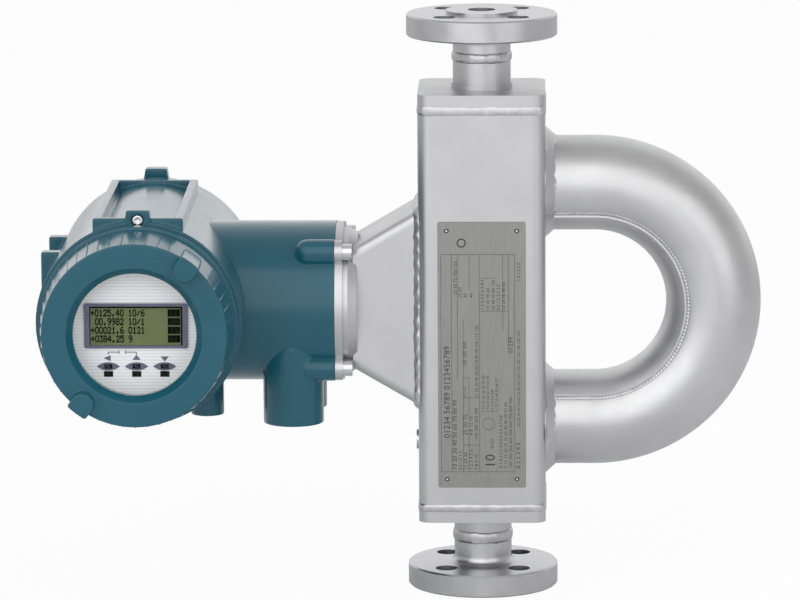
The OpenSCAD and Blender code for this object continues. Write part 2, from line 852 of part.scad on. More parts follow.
// Ribs along the tapered grip band, left out beside the lugs
module cover_ribs(height) {
    slope = atan((band_r - face_r) / (height - ring_t));
    length = (height - ring_t) / cos(slope) - 0.6;
    for (i = [0 : rib_count - 1]) {
        angle = (i + 0.5) * 360 / rib_count;
        off = abs((angle - lug_angle + 450) % 180 - 90);
        if (off > 9)
            rotate(angle) translate([band_r, 0, ring_t - 0.2]) rotate([0, -slope, 0])
                translate([-2, -0.4, 0]) cube([2.6, 0.8, length]);
    }
}

// Two opposed lugs on the face, each with a smooth pad across the band
module cover_lugs(height) {
    pad_r = face_r + 2.2;
    nose = pad_r - 6.9 - lug_w / 2;
    for (turn = [0, 180]) rotate(lug_angle + turn) intersection() {
        union() {
            translate([nose, 0, height - 4]) cylinder(d = lug_w, h = lug_h + 4);
            translate([nose, -lug_w / 2, height - 4]) cube([lug_w * 2, lug_w, lug_h + 4]);
            translate([cavity_r + 3, -lug_w / 2, ring_t - 1])
                cube([lug_w, lug_w, height - ring_t + 1]);
        }
        cylinder(r = pad_r, h = height + lug_h);
    }
}

module seal_groove() {
    half = seal_d / 2 + clearance;
    translate([0, 0, -eps]) difference() {
        cylinder(r = seal_r + half, h = seal_d + 2 * clearance + eps);
        translate([0, 0, -eps]) cylinder(r = seal_r - half, h = seal_d + 2 * clearance + 3 * eps);
    }
}

module display_cover_solid() {
    difference() {
        union() {
            rotate_extrude() polygon([
                [window_r, glass_front], [window_r, display_cover_h - bevel_depth],
                [window_r + bevel_w, display_cover_h], [face_r - 0.6, display_cover_h],
                [face_r, display_cover_h - 0.6], [band_r, ring_t],
                [ring_r - 0.5, ring_t], [ring_r, ring_t - 0.5], [ring_r, 0],
                [thread_r - fit, 0], [thread_r - fit, -thread_l], [cavity_r, -thread_l],
                [cavity_r, glass_back - 6], [retainer_r, glass_back - 6], [retainer_r, glass_back],
                [glass_r + fit, glass_back], [glass_r + fit, glass_front],
            ]);
            cover_ribs(display_cover_h);
            cover_lugs(display_cover_h);
        }
        seal_groove();
    }
}

module terminal_cover_solid() {
    difference() {
        union() {
            rotate_extrude() polygon([
                [0, terminal_cover_h], [face_r - 0.6, terminal_cover_h],
                [face_r, terminal_cover_h - 0.6], [band_r, ring_t],
                [ring_r + 0.5, ring_t], [ring_r + 0.5, 0],
                [thread_r - fit, 0], [thread_r - fit, -thread_l], [cavity_r, -thread_l],
                [cavity_r, terminal_cover_h - 5], [0, terminal_cover_h - 5],
            ]);
            cover_ribs(terminal_cover_h);
            cover_lugs(terminal_cover_h);
        }
        seal_groove();
    }
}

module on_front() at_body(-front_y) towards_front() children();
module on_rear() at_body(rear_y) towards_rear() children();

module display_cover() color(paint) on_front() display_cover_solid();
module terminal_cover() color(paint) on_rear() terminal_cover_solid();

module display_seal() color([0.12, 0.12, 0.13]) on_front()
    translate([0, 0, clearance]) seal(seal_r);
module terminal_seal() color([0.12, 0.12, 0.13]) on_rear()
    translate([0, 0, clearance]) seal(seal_r);

module window_glass() color([0.85, 0.90, 0.92, 0.35]) on_front()
    translate([0, 0, glass_back]) cylinder(r = glass_r, h = glass_t);

module window_ring() color([0.45, 0.47, 0.50]) on_front() translate([0, 0, glass_back - retainer_t])
    difference() {
        cylinder(r = retainer_r - fit, h = retainer_t);
        translate([0, 0, -eps]) cylinder(r = window_r + 2.5, h = retainer_t + 2 * eps);
        for (turn = [0, 180]) rotate(turn) translate([window_r + 5.5, -1.5, -eps])
            cube([6, 3, 2 + eps]);
    }

// ---- Display module ----

module key_places() {
    for (i = [-1, 0, 1]) translate([i * key_pitch, key_z, 0]) children();
}

module face_plate() color([0.92, 0.92, 0.92]) on_front() difference() {
    translate([0, 0, face_front - face_t]) cylinder(r = face_plate_r, h = face_t);
    translate([0, bezel_z, face_front - face_t / 2]) linear_extrude(face_t)
        square([lcd_w + 2 * fit, lcd_h + 2 * fit], center = true);
    key_places() translate([0, 0, face_front - window_t]) linear_extrude(face_t)
        translate([0, window_drop]) square([window_w, window_h], center = true);
}

module lcd_bezel() color([0.37, 0.38, 0.47]) on_front()
    translate([0, bezel_z, face_front]) difference() {
        linear_extrude(bezel_t) rounded_square(bezel_w, bezel_h, 1.5);
        translate([0, 0, -eps]) linear_extrude(bezel_t + 2 * eps)
            square([lcd_w, lcd_h], center = true);
    }

module lcd_panel() color([0.50, 0.53, 0.38]) on_front()
    translate([0, bezel_z, face_front - face_t / 2]) linear_extrude(face_t / 2 + lcd_inset)
        square([lcd_w - 2 * clearance, lcd_h - 2 * clearance], center = true);

module key_lenses() color([0.30, 0.32, 0.40]) on_front()
    key_places() translate([0, 0, face_front]) linear_extrude(key_t) intersection() {
        scale_r = (pow(key_w / 2, 2) + pow(key_h / 2, 2)) / key_h;
        translate([0, scale_r - key_h / 2]) circle(r = scale_r);
        translate([0, -scale_r + key_h / 2]) circle(r = scale_r);
    }

// Dark windows below the keys, let into the face plate
module key_windows() color([0.08, 0.08, 0.09]) on_front()
    key_places() translate([0, 0, face_front - window_t]) linear_extrude(window_t)
        translate([0, window_drop])
            square([window_w - 2 * fit, window_h - 2 * fit], center = true);

module standoff_places() {
    for (x = [-standoff_half, standoff_half], z = [-standoff_half, standoff_half])
        translate([x, z, 0]) children();
}

// Places children in front of the partition at distance y, +z to the front
module before_partition(y) at_body(partition_y - y) towards_front() children();

module display_case() color([0.20, 0.21, 0.23]) before_partition(board_case_y) difference() {
    cylinder(r = case_r, h = case_t);
    translate([0, 0, case_wall]) cylinder(r = case_r - case_wall, h = case_t);
    standoff_places() translate([0, 0, -eps]) cylinder(d = shank_d + 2 * fit, h = case_wall + 2 * eps);
}

module display_board() color([0.10, 0.35, 0.20]) before_partition(board_case_y + case_wall) {
    difference() {
        cylinder(r = case_r - case_wall - clearance, h = board_t);
        standoff_places() translate([0, 0, -eps])
            cylinder(d = shank_d + 2 * fit, h = board_t + 2 * eps);
    }
    board_part(display_chip);
}

// Shanks run through all the boards, with collars between them
module stand_offs() color([0.75, 0.70, 0.45]) before_partition(0) standoff_places() {
    cylinder(d = standoff_d, h = power_board_y);
    translate([0, 0, power_board_y + board_t])
        cylinder(d = standoff_d, h = main_board_y - power_board_y - board_t);
    translate([0, 0, main_board_y + board_t])
        cylinder(d = standoff_d, h = board_case_y - main_board_y - board_t);
    cylinder(d = shank_d, h = board_case_y + case_wall + board_t);
    translate([0, 0, board_case_y + case_wall + board_t])
        cylinder(d = standoff_d, h = nut_h, $fn = 6);
}

module board_part(part) {
    translate([part[0], part[1], board_t]) cube([part[2], part[3], part[4]]);
}

module round_board() {
    difference() {
        cylinder(r = board_r, h = board_t);
        standoff_places() translate([0, 0, -eps])
            cylinder(d = shank_d + 2 * fit, h = board_t + 2 * eps);
    }
}

module main_board() color([0.10, 0.35, 0.20]) before_partition(main_board_y) {
    round_board();
    for (chip = main_chips) board_part(chip);
    board_part(ribbon_socket);
}

module power_board() color([0.10, 0.35, 0.20]) before_partition(power_board_y) {
    round_board();
    board_part(converter);
    for (x = [-capacitor_x, capacitor_x]) translate([x, capacitor_z, board_t])
        cylinder(d = capacitor_d, h = capacitor_h);
}

// ---- Terminal compartment ----

terminal_pitch = (block_w - 8) / terminal_count;
clamp_screw_d = 4.4;
clamp_screw_l = 7;
clamp_bore_l = 9;
wire_slot = [4.4, 6, 5];
screw_slot_w = 0.8;

module behind_partition() at_body(partition_y + partition_t) towards_rear() children();

module terminal_places() {
    for (i = [0 : terminal_count - 1])
        translate([(i - (terminal_count - 1) / 2) * terminal_pitch, 0, block_depth]) children();
}

module terminal_block() color([0.15, 0.30, 0.22]) behind_partition() difference() {
    translate([-block_w / 2, -block_h / 2, 0]) cube([block_w, block_h, block_depth]);
    terminal_places() {
        translate([0, -block_h / 4, -clamp_bore_l]) cylinder(d = clamp_screw_d, h = clamp_bore_l + eps);
        translate([-wire_slot[0] / 2, block_h / 2 - wire_slot[1], 1 - clamp_bore_l])
            cube(wire_slot + [0, eps, 0]);
    }
}

module terminal_screws() color([0.82, 0.80, 0.74]) behind_partition()
    terminal_places() translate([0, -block_h / 4, -clamp_bore_l]) difference() {
        cylinder(d = clamp_screw_d - 2 * fit, h = clamp_screw_l);
        translate([-clamp_screw_d, -screw_slot_w / 2, clamp_screw_l - 1])
            cube([2 * clamp_screw_d, screw_slot_w, 2]);
    }

module ground_screw() color([0.80, 0.80, 0.82]) behind_partition() translate([0, 32, 0]) {
    cylinder(d = 10, h = 1);
    difference() {
        cylinder(d = 8, h = 5);
        translate([-5, -0.6, 3.6]) cube([10, 1.2, 2]);
    }
}

lower_flange();
upper_flange();
inlet_splitter();
outlet_splitter();
sensor_box();
lower_end_cap();
upper_end_cap();
loop_shell();
loop_strip();
name_plate();
plate_rivets();
purge_plug();
front_tube();
rear_tube();
tube_braces();
drive_coil();
drive_magnet();
inlet_pickoff_coil();
inlet_pickoff_magnet();
outlet_pickoff_coil();
outlet_pickoff_magnet();
temperature_sensor();
adapter_shell();
adapter_flange();
adapter_seal();
adapter_screws();
wire_feedthrough();
transmitter_housing();
bulkhead_bushing();
front_lock_screw();
rear_lock_screw();
display_cover();
window_glass();
window_ring();
display_seal();
terminal_cover();
terminal_seal();
face_plate();
lcd_bezel();
lcd_panel();
key_lenses();
key_windows();
display_case();
display_board();
stand_offs();
main_board();
power_board();
terminal_block();
terminal_screws();
ground_screw();
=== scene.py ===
"""Coriolis flow meter: castings, welds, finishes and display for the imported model.

Everything is in metres in the model's own frame: +Z runs up the flow axis from the lower flange's
sealing face, +X points to the looped pipe and -Y to the display.
"""

import json
import math

import bmesh
import bpy
import numpy as np
from mathutils import Matrix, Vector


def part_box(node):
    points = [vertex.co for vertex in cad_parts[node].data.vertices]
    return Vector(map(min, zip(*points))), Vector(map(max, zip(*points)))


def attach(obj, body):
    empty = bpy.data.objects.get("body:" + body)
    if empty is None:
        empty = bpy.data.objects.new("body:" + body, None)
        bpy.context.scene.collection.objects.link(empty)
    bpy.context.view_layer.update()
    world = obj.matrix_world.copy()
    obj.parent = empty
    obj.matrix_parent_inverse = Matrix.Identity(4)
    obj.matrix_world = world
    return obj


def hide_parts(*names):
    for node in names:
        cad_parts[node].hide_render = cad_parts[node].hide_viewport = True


bl_info = {
    "name": "Coriolis Flow Meter",
    "version": (1, 0, 0),
    "blender": (4, 5, 0),
    "location": "3D View > Sidebar > Flow Meter",
    "description": "Dresses a flanged coriolis flow meter with its welds, finishes and display",
    "category": "Object",
}

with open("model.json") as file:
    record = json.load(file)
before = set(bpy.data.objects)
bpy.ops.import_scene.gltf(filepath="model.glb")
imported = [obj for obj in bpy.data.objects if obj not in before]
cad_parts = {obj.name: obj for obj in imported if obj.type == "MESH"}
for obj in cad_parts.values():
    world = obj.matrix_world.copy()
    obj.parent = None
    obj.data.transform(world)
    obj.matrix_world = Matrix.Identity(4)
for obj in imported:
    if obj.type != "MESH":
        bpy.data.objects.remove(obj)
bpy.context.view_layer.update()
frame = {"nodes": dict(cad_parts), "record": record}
MM = 0.001
TURN = 2 * math.pi

# ---------------------------------------------------------------- places taken from the model


def middle(node):
    """The middle of a node's box."""
    low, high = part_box(node)
    return (low + high) / 2


AXIS_Z = (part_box("lower_flange")[0].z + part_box("upper_flange")[1].z) / 2
TOP_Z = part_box("upper_flange")[1].z
CAP_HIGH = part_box("lower_end_cap")[1]
BOX_HALF = CAP_HIGH.x
# The necks are 36.4 mm across where the splitter's own box is 52 mm wide
NECK_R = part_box("inlet_splitter")[1].x * 36.4 / 52
LOOP_LOW, LOOP_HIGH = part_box("loop_shell")
PIPE_R = LOOP_HIGH.y
BEND_R = (LOOP_HIGH.z - LOOP_LOW.z) / 2 - PIPE_R
BEND_X = LOOP_HIGH.x - BEND_R - PIPE_R
BODY_X = middle("window_glass").x
FRONT_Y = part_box("transmitter_housing")[0].y
REAR_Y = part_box("transmitter_housing")[1].y
FACE_H = FRONT_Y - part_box("face_plate")[0].y
PLATE_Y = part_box("name_plate")[0].y

# The casting's two outside cylinders: a point on the axis, the axis and the radius
BARREL = ((BODY_X, 0, AXIS_Z), 1, 64 * MM)
TURRET = ((0, 0, AXIS_Z), 0, 50.5 * MM)

# A place is an origin and three directions: across, up and out of the surface
FRONT = ((BODY_X, FRONT_Y, AXIS_Z), ((1, 0, 0), (0, 0, 1), (0, -1, 0)))
REAR = ((BODY_X, REAR_Y, AXIS_Z), ((1, 0, 0), (0, 0, -1), (0, 1, 0)))


def placed(points, place):
    """Local points times the place's three directions, plus its origin."""
    origin, directions = place
    return np.asarray(points, float) @ np.asarray(directions, float) + np.asarray(origin, float)


# ---------------------------------------------------------------- colours and nodes


def linear(code):
    """Linear RGBA of an sRGB hex colour.

    A channel c is c / 12.92 up to 0.04045 and ((c + 0.055) / 1.055) ^ 2.4 above it.
    """
    channels = [int(code[i : i + 2], 16) / 255 for i in (1, 3, 5)]
    return (*(c / 12.92 if c <= 0.04045 else ((c + 0.055) / 1.055) ** 2.4 for c in channels), 1.0)


def add_node(tree, kind, inputs=None, links=None, **settings):
    """Adds one node, sets its settings and socket values, and links sockets to its inputs."""
    node = tree.nodes.new(kind)
    for key, value in settings.items():
        setattr(node, key, value)
    for key, value in (inputs or {}).items():
        node.inputs[key].default_value = value
    for key, source in (links or {}).items():
        tree.links.new(source, node.inputs[key])
    return node


def new_material(name, **values):
    """A material with a Principled BSDF whose sockets hold the given values."""
    material = bpy.data.materials.new(name)
    material.use_nodes = True
    shader = material.node_tree.nodes["Principled BSDF"]
    for key, value in values.items():
        shader.inputs[key.replace("_", " ")].default_value = value
    return material, material.node_tree, shader


def pattern(tree, kind):
    """A pattern's value: what its own function makes, or noise of (mm between features, detail).

    Three more items stretch the noise: a share under 1 draws it out along x, y or z.
    """
    if callable(kind):
        return kind(tree)
    spacing, detail, *stretch = kind
    scale = tuple(share / (spacing * MM) for share in stretch or (1, 1, 1))
    place = add_node(tree, "ShaderNodeTexCoord").outputs["Object"]
    local = add_node(tree, "ShaderNodeMapping", {"Scale": scale}, {"Vector": place})
    return add_node(
        tree, "ShaderNodeTexNoise", {"Scale": 1.0, "Detail": detail}, {"Vector": local.outputs[0]}
    ).outputs["Fac"]


def new_finish(
    name, tones, rough, grain, depth, strength, clouds=None, patches=None, levels=(0.3, 0.7),
    **values
):
    """A finish with up to three patterns, and constant values on the shader's own sockets.

    The clouds blend the two tones as they run between the levels, the patches move the roughness
    between its two ends, and the grain lifts the surface by its depth in millimetres. With no
    clouds tones is one colour, and with no patches rough is one number.
    """
    material, tree, shader = new_material(name, **values)
    if clouds:
        share = add_node(
            tree,
            "ShaderNodeMapRange",
            {"From Min": levels[0], "From Max": levels[1]},
            {"Value": pattern(tree, clouds)},
        )
        mix = add_node(
            tree,
            "ShaderNodeMix",
            {"A": tones[0], "B": tones[1]},
            {"Factor": share.outputs["Result"]},
            data_type="RGBA",
        )
        tree.links.new(mix.outputs["Result"], shader.inputs["Base Color"])
    else:
        shader.inputs["Base Color"].default_value = tones
    if patches:
        share = add_node(
            tree,
            "ShaderNodeMapRange",
            {"From Min": 0.3, "From Max": 0.7, "To Min": rough[0], "To Max": rough[1]},
            {"Value": pattern(tree, patches)},
        )
        tree.links.new(share.outputs["Result"], shader.inputs["Roughness"])
    else:
        shader.inputs["Roughness"].default_value = rough
    relief = add_node(
        tree,
        "ShaderNodeBump",
        {"Strength": strength, "Distance": depth * MM},
        {"Height": pattern(tree, grain)},
    )
    tree.links.new(relief.outputs["Normal"], shader.inputs["Normal"])
    return material


# ---------------------------------------------------------------- materials


def blasted_steel(name, dark, light):
    """Glass-bead blasted, pickled stainless steel: a soft, even sheen with faint clouds in it."""
    return new_finish(
        name, (dark, light), (0.40, 0.36), grain=(0.45, 2), depth=0.008, strength=0.5,
        clouds=(24, 4), patches=(24, 4), Metallic=1.0,
    )


def drawn_pipe(name, dark, light):
    """Drawn and polished stainless pipe: cloudy satin, a little smoother than the blasted sheet."""
    return new_finish(
        name, (dark, light), (0.32, 0.42), grain=(0.6, 2), depth=0.006, strength=0.5,
        clouds=(38, 3), patches=(12, 4), Metallic=1.0,
    )


def turned_steel(name, dark, light, axis, pitch=0.55 * MM):
    """Steel turned on a lathe: fine rings over faces and rims, drawn coarse enough to show.

    The groove is a sine of the distance from the axis, which runs through the origin, plus the
    distance along it.
    """
    along_axis = tuple(1.0 if i == axis else 0.0 for i in range(3))

    def rings(tree):
        place = add_node(tree, "ShaderNodeTexCoord").outputs["Object"]
        flat = add_node(
            tree,
            "ShaderNodeVectorMath",
            {1: tuple(1.0 - share for share in along_axis)},
            {0: place},
            operation="MULTIPLY",
        )
        radius = add_node(
            tree, "ShaderNodeVectorMath", links={0: flat.outputs[0]}, operation="LENGTH"
        )
        along = add_node(
            tree, "ShaderNodeVectorMath", {1: along_axis}, {0: place}, operation="DOT_PRODUCT"
        )
        both = add_node(
            tree,
            "ShaderNodeMath",
            links={0: radius.outputs["Value"], 1: along.outputs["Value"]},
            operation="ADD",
        )
        turns = add_node(
            tree, "ShaderNodeMath", {1: TURN / pitch}, {0: both.outputs[0]}, operation="MULTIPLY"
        )
        return add_node(
            tree, "ShaderNodeMath", links={0: turns.outputs[0]}, operation="SINE"
        ).outputs[0]

    return new_finish(
        name, (dark, light), (0.28, 0.34), grain=rings, depth=0.004, strength=0.5,
        clouds=(14, 4), patches=(14, 4), Metallic=1.0,
    )


def weld_steel(name, dark, light):
    """Weld metal: bright and uneven."""
    return new_finish(
        name, (dark, light), (0.28, 0.38), grain=(3, 2), depth=0.05, strength=0.4,
        clouds=(7, 3), patches=(7, 3), Metallic=1.0,
    )


def plain_metal(name, tone, rough):
    """Bright machined metal with faint handling marks."""
    return new_finish(
        name, tone, (rough - 0.03, rough + 0.03), grain=(0.6, 2), depth=0.004, strength=0.3,
        patches=(4, 3), Metallic=1.0,
    )


def powder_coat(name, dark, light):
    """Baked polyurethane paint on a die casting: dark face on, nearly white at a grazing angle."""
    return new_finish(
        name, (dark, light), (0.26, 0.32), grain=(1.5, 2), depth=0.012, strength=0.3,
        clouds=(55, 3), patches=(18, 3), IOR=1.32, Coat_Weight=1.0, Coat_IOR=1.32,
        Coat_Roughness=0.16,
    )


def moulded_plastic(name, dark, light, rough, ior=1.5):
    """Moulded plastic or rubber with a fine grain."""
    return new_finish(
        name, (dark, light), (rough - 0.05, rough + 0.05), grain=(0.9, 2), depth=0.02, strength=0.4,
        clouds=(6, 3), patches=(3, 3), IOR=ior,
    )


def window_pane(name, tone):
    """Coated, glare-free glass that lets shadow rays through, so the display behind it is lit."""
    material, tree, shader = new_material(
        name, Base_Color=tone, Roughness=0.01, IOR=1.13, Transmission_Weight=1.0
    )
    clear = add_node(tree, "ShaderNodeBsdfTransparent", {"Color": tone})
    path = add_node(tree, "ShaderNodeLightPath")
    lit = add_node(
        tree,
        "ShaderNodeMath",
        links={0: path.outputs["Is Shadow Ray"], 1: path.outputs["Is Diffuse Ray"]},
        operation="MAXIMUM",
    )
    mix = add_node(
        tree,
        "ShaderNodeMixShader",
        links={0: lit.outputs[0], 1: shader.outputs[0], 2: clear.outputs[0]},
    )
    tree.links.new(mix.outputs[0], tree.nodes["Material Output"].inputs["Surface"])
    return material


def printed_face(name, paper, line, pitch):
    """White printed polycarbonate with fine grey lines across it, one to each pitch of height."""

    def lines(tree):
        place = add_node(tree, "ShaderNodeTexCoord").outputs["Object"]
        height = add_node(tree, "ShaderNodeSeparateXYZ", links={0: place}).outputs["Z"]
        turns = add_node(
            tree, "ShaderNodeMath", {1: TURN / pitch}, {0: height}, operation="MULTIPLY"
        )
        return add_node(
            tree, "ShaderNodeMath", links={0: turns.outputs[0]}, operation="SINE"
        ).outputs[0]

    return new_finish(
        name, (paper, line), 0.42, grain=(1.2, 2), depth=0.01, strength=0.3, clouds=lines,
        levels=(0.55, 0.9),
    )


def brushed_plate(name, dark, light):
    """Etched stainless sheet, brushed across: short fine scratches with a matt sheen."""
    scratches = (0.7, 3, 1, 1, 0.06)
    return new_finish(
        name, (dark, light), (0.36, 0.5), grain=scratches, depth=0.01, strength=0.4,
        clouds=scratches, patches=scratches, Metallic=1.0,
    )


FINISHES = {}


def make_finishes(paint_dark, paint_light):
    """Makes every material once, by the name of the slot or detail that it finishes."""
    FINISHES.update(
        stainless=blasted_steel("blasted_stainless", linear("#c2c2c3"), linear("#c8c8ca")),
        stainless_strip=drawn_pipe("strip_stainless", linear("#b0b0af"), linear("#bcbcba")),
        pipe=drawn_pipe("pipe_stainless", linear("#c6c6c7"), linear("#d0d0d1")),
        weld=weld_steel("weld_metal", linear("#b9b8b9"), linear("#cfced0")),
        flange=turned_steel("turned_stainless", linear("#c0c0c2"), linear("#cacacc"), axis=2),
        plate_metal=brushed_plate("etched_plate", linear("#8f8f8d"), linear("#9b9b99")),
        fastener=plain_metal("bright_stainless", linear("#d4d4d6"), 0.24),
        tube_alloy=plain_metal("nickel_alloy", linear("#d0d1d4"), 0.24),
        magnet=plain_metal("plated_magnet", linear("#8c8c90"), 0.3),
        copper=plain_metal("enamelled_copper", linear("#b8703a"), 0.3),
        plated_brass=plain_metal("plated_brass", linear("#c9b877"), 0.3),
        teal_paint=powder_coat("teal_polyurethane_paint", paint_dark, paint_light),
        seal_rubber=moulded_plastic("nitrile_rubber", linear("#1c1c1e"), linear("#242426"), 0.6),
        slate_plastic=moulded_plastic("slate_abs", linear("#5b5e73"), linear("#656880"), 0.42),
        black_plastic=moulded_plastic(
            "black_window", linear("#08080a"), linear("#0e0e10"), 0.2, ior=1.2
        ),
        case_plastic=moulded_plastic("grey_abs", linear("#34363a"), linear("#3e4044"), 0.5),
        ceramic=moulded_plastic("potting", linear("#d6d6cf"), linear("#e2e2dc"), 0.5),
        board=moulded_plastic("solder_mask", linear("#1b5a36"), linear("#226a41"), 0.3),
        terminal_plastic=moulded_plastic("green_pa", linear("#28523c"), linear("#305f46"), 0.45),
        epoxy=moulded_plastic("cast_epoxy", linear("#3a4a3f"), linear("#45574a"), 0.35),
        lcd_glass=moulded_plastic(
            "liquid_crystal", linear("#6f7650"), linear("#757c56"), 0.4, ior=1.15
        ),
        lcd_ink=moulded_plastic("lcd_segments", linear("#080906"), linear("#0d0e0a"), 0.5, ior=1.1),
        print_ink=moulded_plastic("print_ink", linear("#2c2c2e"), linear("#38383a"), 0.6),
        window_glass=window_pane("toughened_glass", linear("#fdfefe")),
        white_face=printed_face("printed_face", linear("#fcfcfd"), linear("#e6e6ea"), 2.0 * MM),
    )


# ---------------------------------------------------------------- surfaces


def quads_of(rows, columns, close_rows=False, close_columns=False):
    """Quads between neighbours on a grid; a closed direction joins its last line to its first."""
    i = np.arange(rows if close_rows else rows - 1)
    j = np.arange(columns if close_columns else columns - 1)
    i, j = np.meshgrid(i, j, indexing="ij")
    right, up = (j + 1) % columns, (i + 1) % rows
    corners = [i * columns + j, i * columns + right, up * columns + right, up * columns + j]
    return np.stack(corners, -1).reshape(-1, 4)


def merge(mesh, distance, outwards=False):
    """Joins points that lie closer than a distance, and may turn the faces outwards."""
    work = bmesh.new()
    work.from_mesh(mesh)
    bmesh.ops.remove_doubles(work, verts=work.verts, dist=distance)
    if outwards:
        bmesh.ops.recalc_face_normals(work, faces=work.faces)
    work.to_mesh(mesh)
    work.free()


def read(items, key, columns, kind=np.float32):
    """One attribute of every item, as an array with so many columns."""
    values = np.empty(len(items) * columns, kind)
    items.foreach_get(key, values)
    return values.reshape(-1, columns)


def add_piece(name, points, quads, finish, body="root", slot=None, sharp=35):
    """A piece from points (metres) and quads, its poles closed and its faces turned outwards."""
    mesh = bpy.data.meshes.new(name)
    points = np.asarray(points, np.float32).reshape(-1, 3)
    mesh.vertices.add(len(points))
    mesh.vertices.foreach_set("co", points.ravel())
    mesh.loops.add(quads.size)
    mesh.loops.foreach_set("vertex_index", quads.astype(np.int32).ravel())
    mesh.polygons.add(len(quads))
    mesh.polygons.foreach_set("loop_start", np.arange(0, quads.size, 4, dtype=np.int32))
    mesh.update(calc_edges=True)
    merge(mesh, 1e-6, outwards=True)
    return show(name, mesh, finish, body, sharp)


def add_grids(name, grids, finish, closed=False, **settings):
    """A piece from equal grids of points whose rows are rings; closed joins last row to first."""
    grids = np.asarray(grids)
    count, rows, columns = grids.shape[:3]
    quads = quads_of(rows, columns, closed, True)
    quads = quads + rows * columns * np.arange(count)[:, None, None]
    return add_piece(name, grids, quads.reshape(-1, 4), finish, **settings)


def with_ends(rows):
    """A grid with its first and last row's middle added beyond them, which closes both ends."""
    ends = [np.broadcast_to(rows[i].mean(0), rows[i].shape)[None] for i in (0, -1)]
    return np.concatenate([ends[0], rows, ends[1]])


def show(name, mesh, finish, body="root", sharp=35):
    """The object of a finished mesh, smooth up to the sharp angle, that rides on its body."""
    mesh.shade_smooth()
    mesh.set_sharp_from_angle(angle=math.radians(sharp))
    piece = bpy.data.objects.new(name, mesh)
    bpy.context.scene.collection.objects.link(piece)
    mesh.materials.clear()
    mesh.materials.append(FINISHES[finish])
    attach(piece, body)
    return piece


def rounded(corners, steps=6, close=False):
    """A polyline whose corners (x, y, radius) become quadratic curves.

    A curve starts one radius before its corner and ends one radius after it.
    """
    corners = np.asarray(corners, float)
    t = np.linspace(0, 1, steps)[:, None]
    parts = []
    for i, (x, y, radius) in enumerate(corners):
        here = np.array([x, y])
        if radius <= 0 or (not close and i in (0, len(corners) - 1)):
            parts.append(here[None])
            continue
        before = corners[i - 1, :2] - here
        after = corners[(i + 1) % len(corners), :2] - here
        a = here + before / np.linalg.norm(before) * radius
        b = here + after / np.linalg.norm(after) * radius
        parts.append((1 - t) ** 2 * a + 2 * t * (1 - t) * here + t**2 * b)
    return np.concatenate(parts)


def evenly(points, spacing, close=True):
    """The polyline resampled at even arc length."""
    if close:
        points = np.concatenate([points, points[:1]])
    length = np.concatenate([[0], np.cumsum(np.linalg.norm(np.diff(points, axis=0), axis=1))])
    count = max(8, round(length[-1] / spacing))
    s = np.linspace(0, length[-1], count, endpoint=not close)
    return np.stack([np.interp(s, length, axis) for axis in points.T], -1)


def turned(profile, angles, bulge=0.0):
    """Surface of revolution: (r, h) at angle t is ((r + bulge) cos t, (r + bulge) sin t, h)."""
    radius = profile[:, 0, None] + bulge + np.zeros((len(profile), len(angles)))
    height = np.broadcast_to(profile[:, 1, None], radius.shape)
    return np.stack([radius * np.cos(angles), radius * np.sin(angles), height], -1)


def waves(t, seed, counts):
    """A sum of sines with seeded phases and sizes, between about -1 and 1; t runs from 0 to 1."""
    rng = np.random.default_rng(seed)
    sizes = rng.uniform(0.4, 1, len(counts))
    phases = rng.uniform(0, TURN, len(counts))
    parts = [s * np.sin(TURN * n * t + p) for s, n, p in zip(sizes, counts, phases)]
    return sum(parts) / sizes.sum()


def add_bead(name, path, place, tilt, width, height, pitch, seed=1, close=True, ripple=0.3):
    """A weld bead: an ellipse carried along a flat path.

    Its plane holds the path's outward normal, tilted towards the place's third direction. At arc
    length s the ellipse is height * (1 - ripple * |cos(pi s / pitch)|) tall, its ridge bends
    forward like a crescent, and slow waves move its width and height.
    """
    ahead, behind = np.roll(path, -1, 0), np.roll(path, 1, 0)
    tangent = ahead - behind
    if not close:
        tangent[0], tangent[-1] = path[1] - path[0], path[-1] - path[-2]
    tangent /= np.linalg.norm(tangent, axis=1)[:, None]
    level = np.zeros(len(path))
    flat = np.stack([tangent[:, 1], -tangent[:, 0], level], -1)
    out = math.cos(tilt) * flat + math.sin(tilt) * np.array([0, 0, 1.0])
    along = np.column_stack([tangent, level])
    side = np.cross(along, out)
    step = np.linalg.norm(np.diff(path, axis=0), axis=1)
    s = np.concatenate([[0], np.cumsum(step)])[:, None]
    t = s / s[-1]
    a = np.linspace(0, TURN, 14, endpoint=False)[None]
    crescent = pitch * 0.35 * np.cos(a) ** 2
    scale = 1 - ripple * np.abs(np.cos(math.pi * (s + crescent) / pitch))
    scale = scale * (1 + 0.22 * waves(t, seed, (3, 7, 13, 22)))
    spread_out = 1 + 0.12 * waves(t, seed + 9, (4, 9, 17, 31))
    across = width / 2 * spread_out * np.cos(a)
    up = height * scale * np.sin(a)
    base = np.column_stack([path, level])
    points = base[:, None] + across[..., None] * side[:, None] + up[..., None] * out[:, None]
    if not close:
        points = np.concatenate([points[:1] * 0 + base[0], points, points[:1] * 0 + base[-1]])
    return add_grids(name, [placed(points, place)], "weld", close, slot="stainless", sharp=60)


def circle(radius, spacing):
    """Points round a circle."""
    t = np.linspace(0, TURN, max(24, round(TURN * radius / spacing)), endpoint=False)
    return np.stack([radius * np.cos(t), radius * np.sin(t)], -1)


def rounded_rectangle(width, height, radius, spacing):
    """The outline of a rectangle with rounded corners, anticlockwise."""
    x, y = width / 2, height / 2
    corners = [(x, -y, radius), (x, y, radius), (-x, y, radius), (-x, -y, radius)]
    return evenly(rounded(corners, 9, close=True), spacing)


# ---------------------------------------------------------------- looped pipe housing


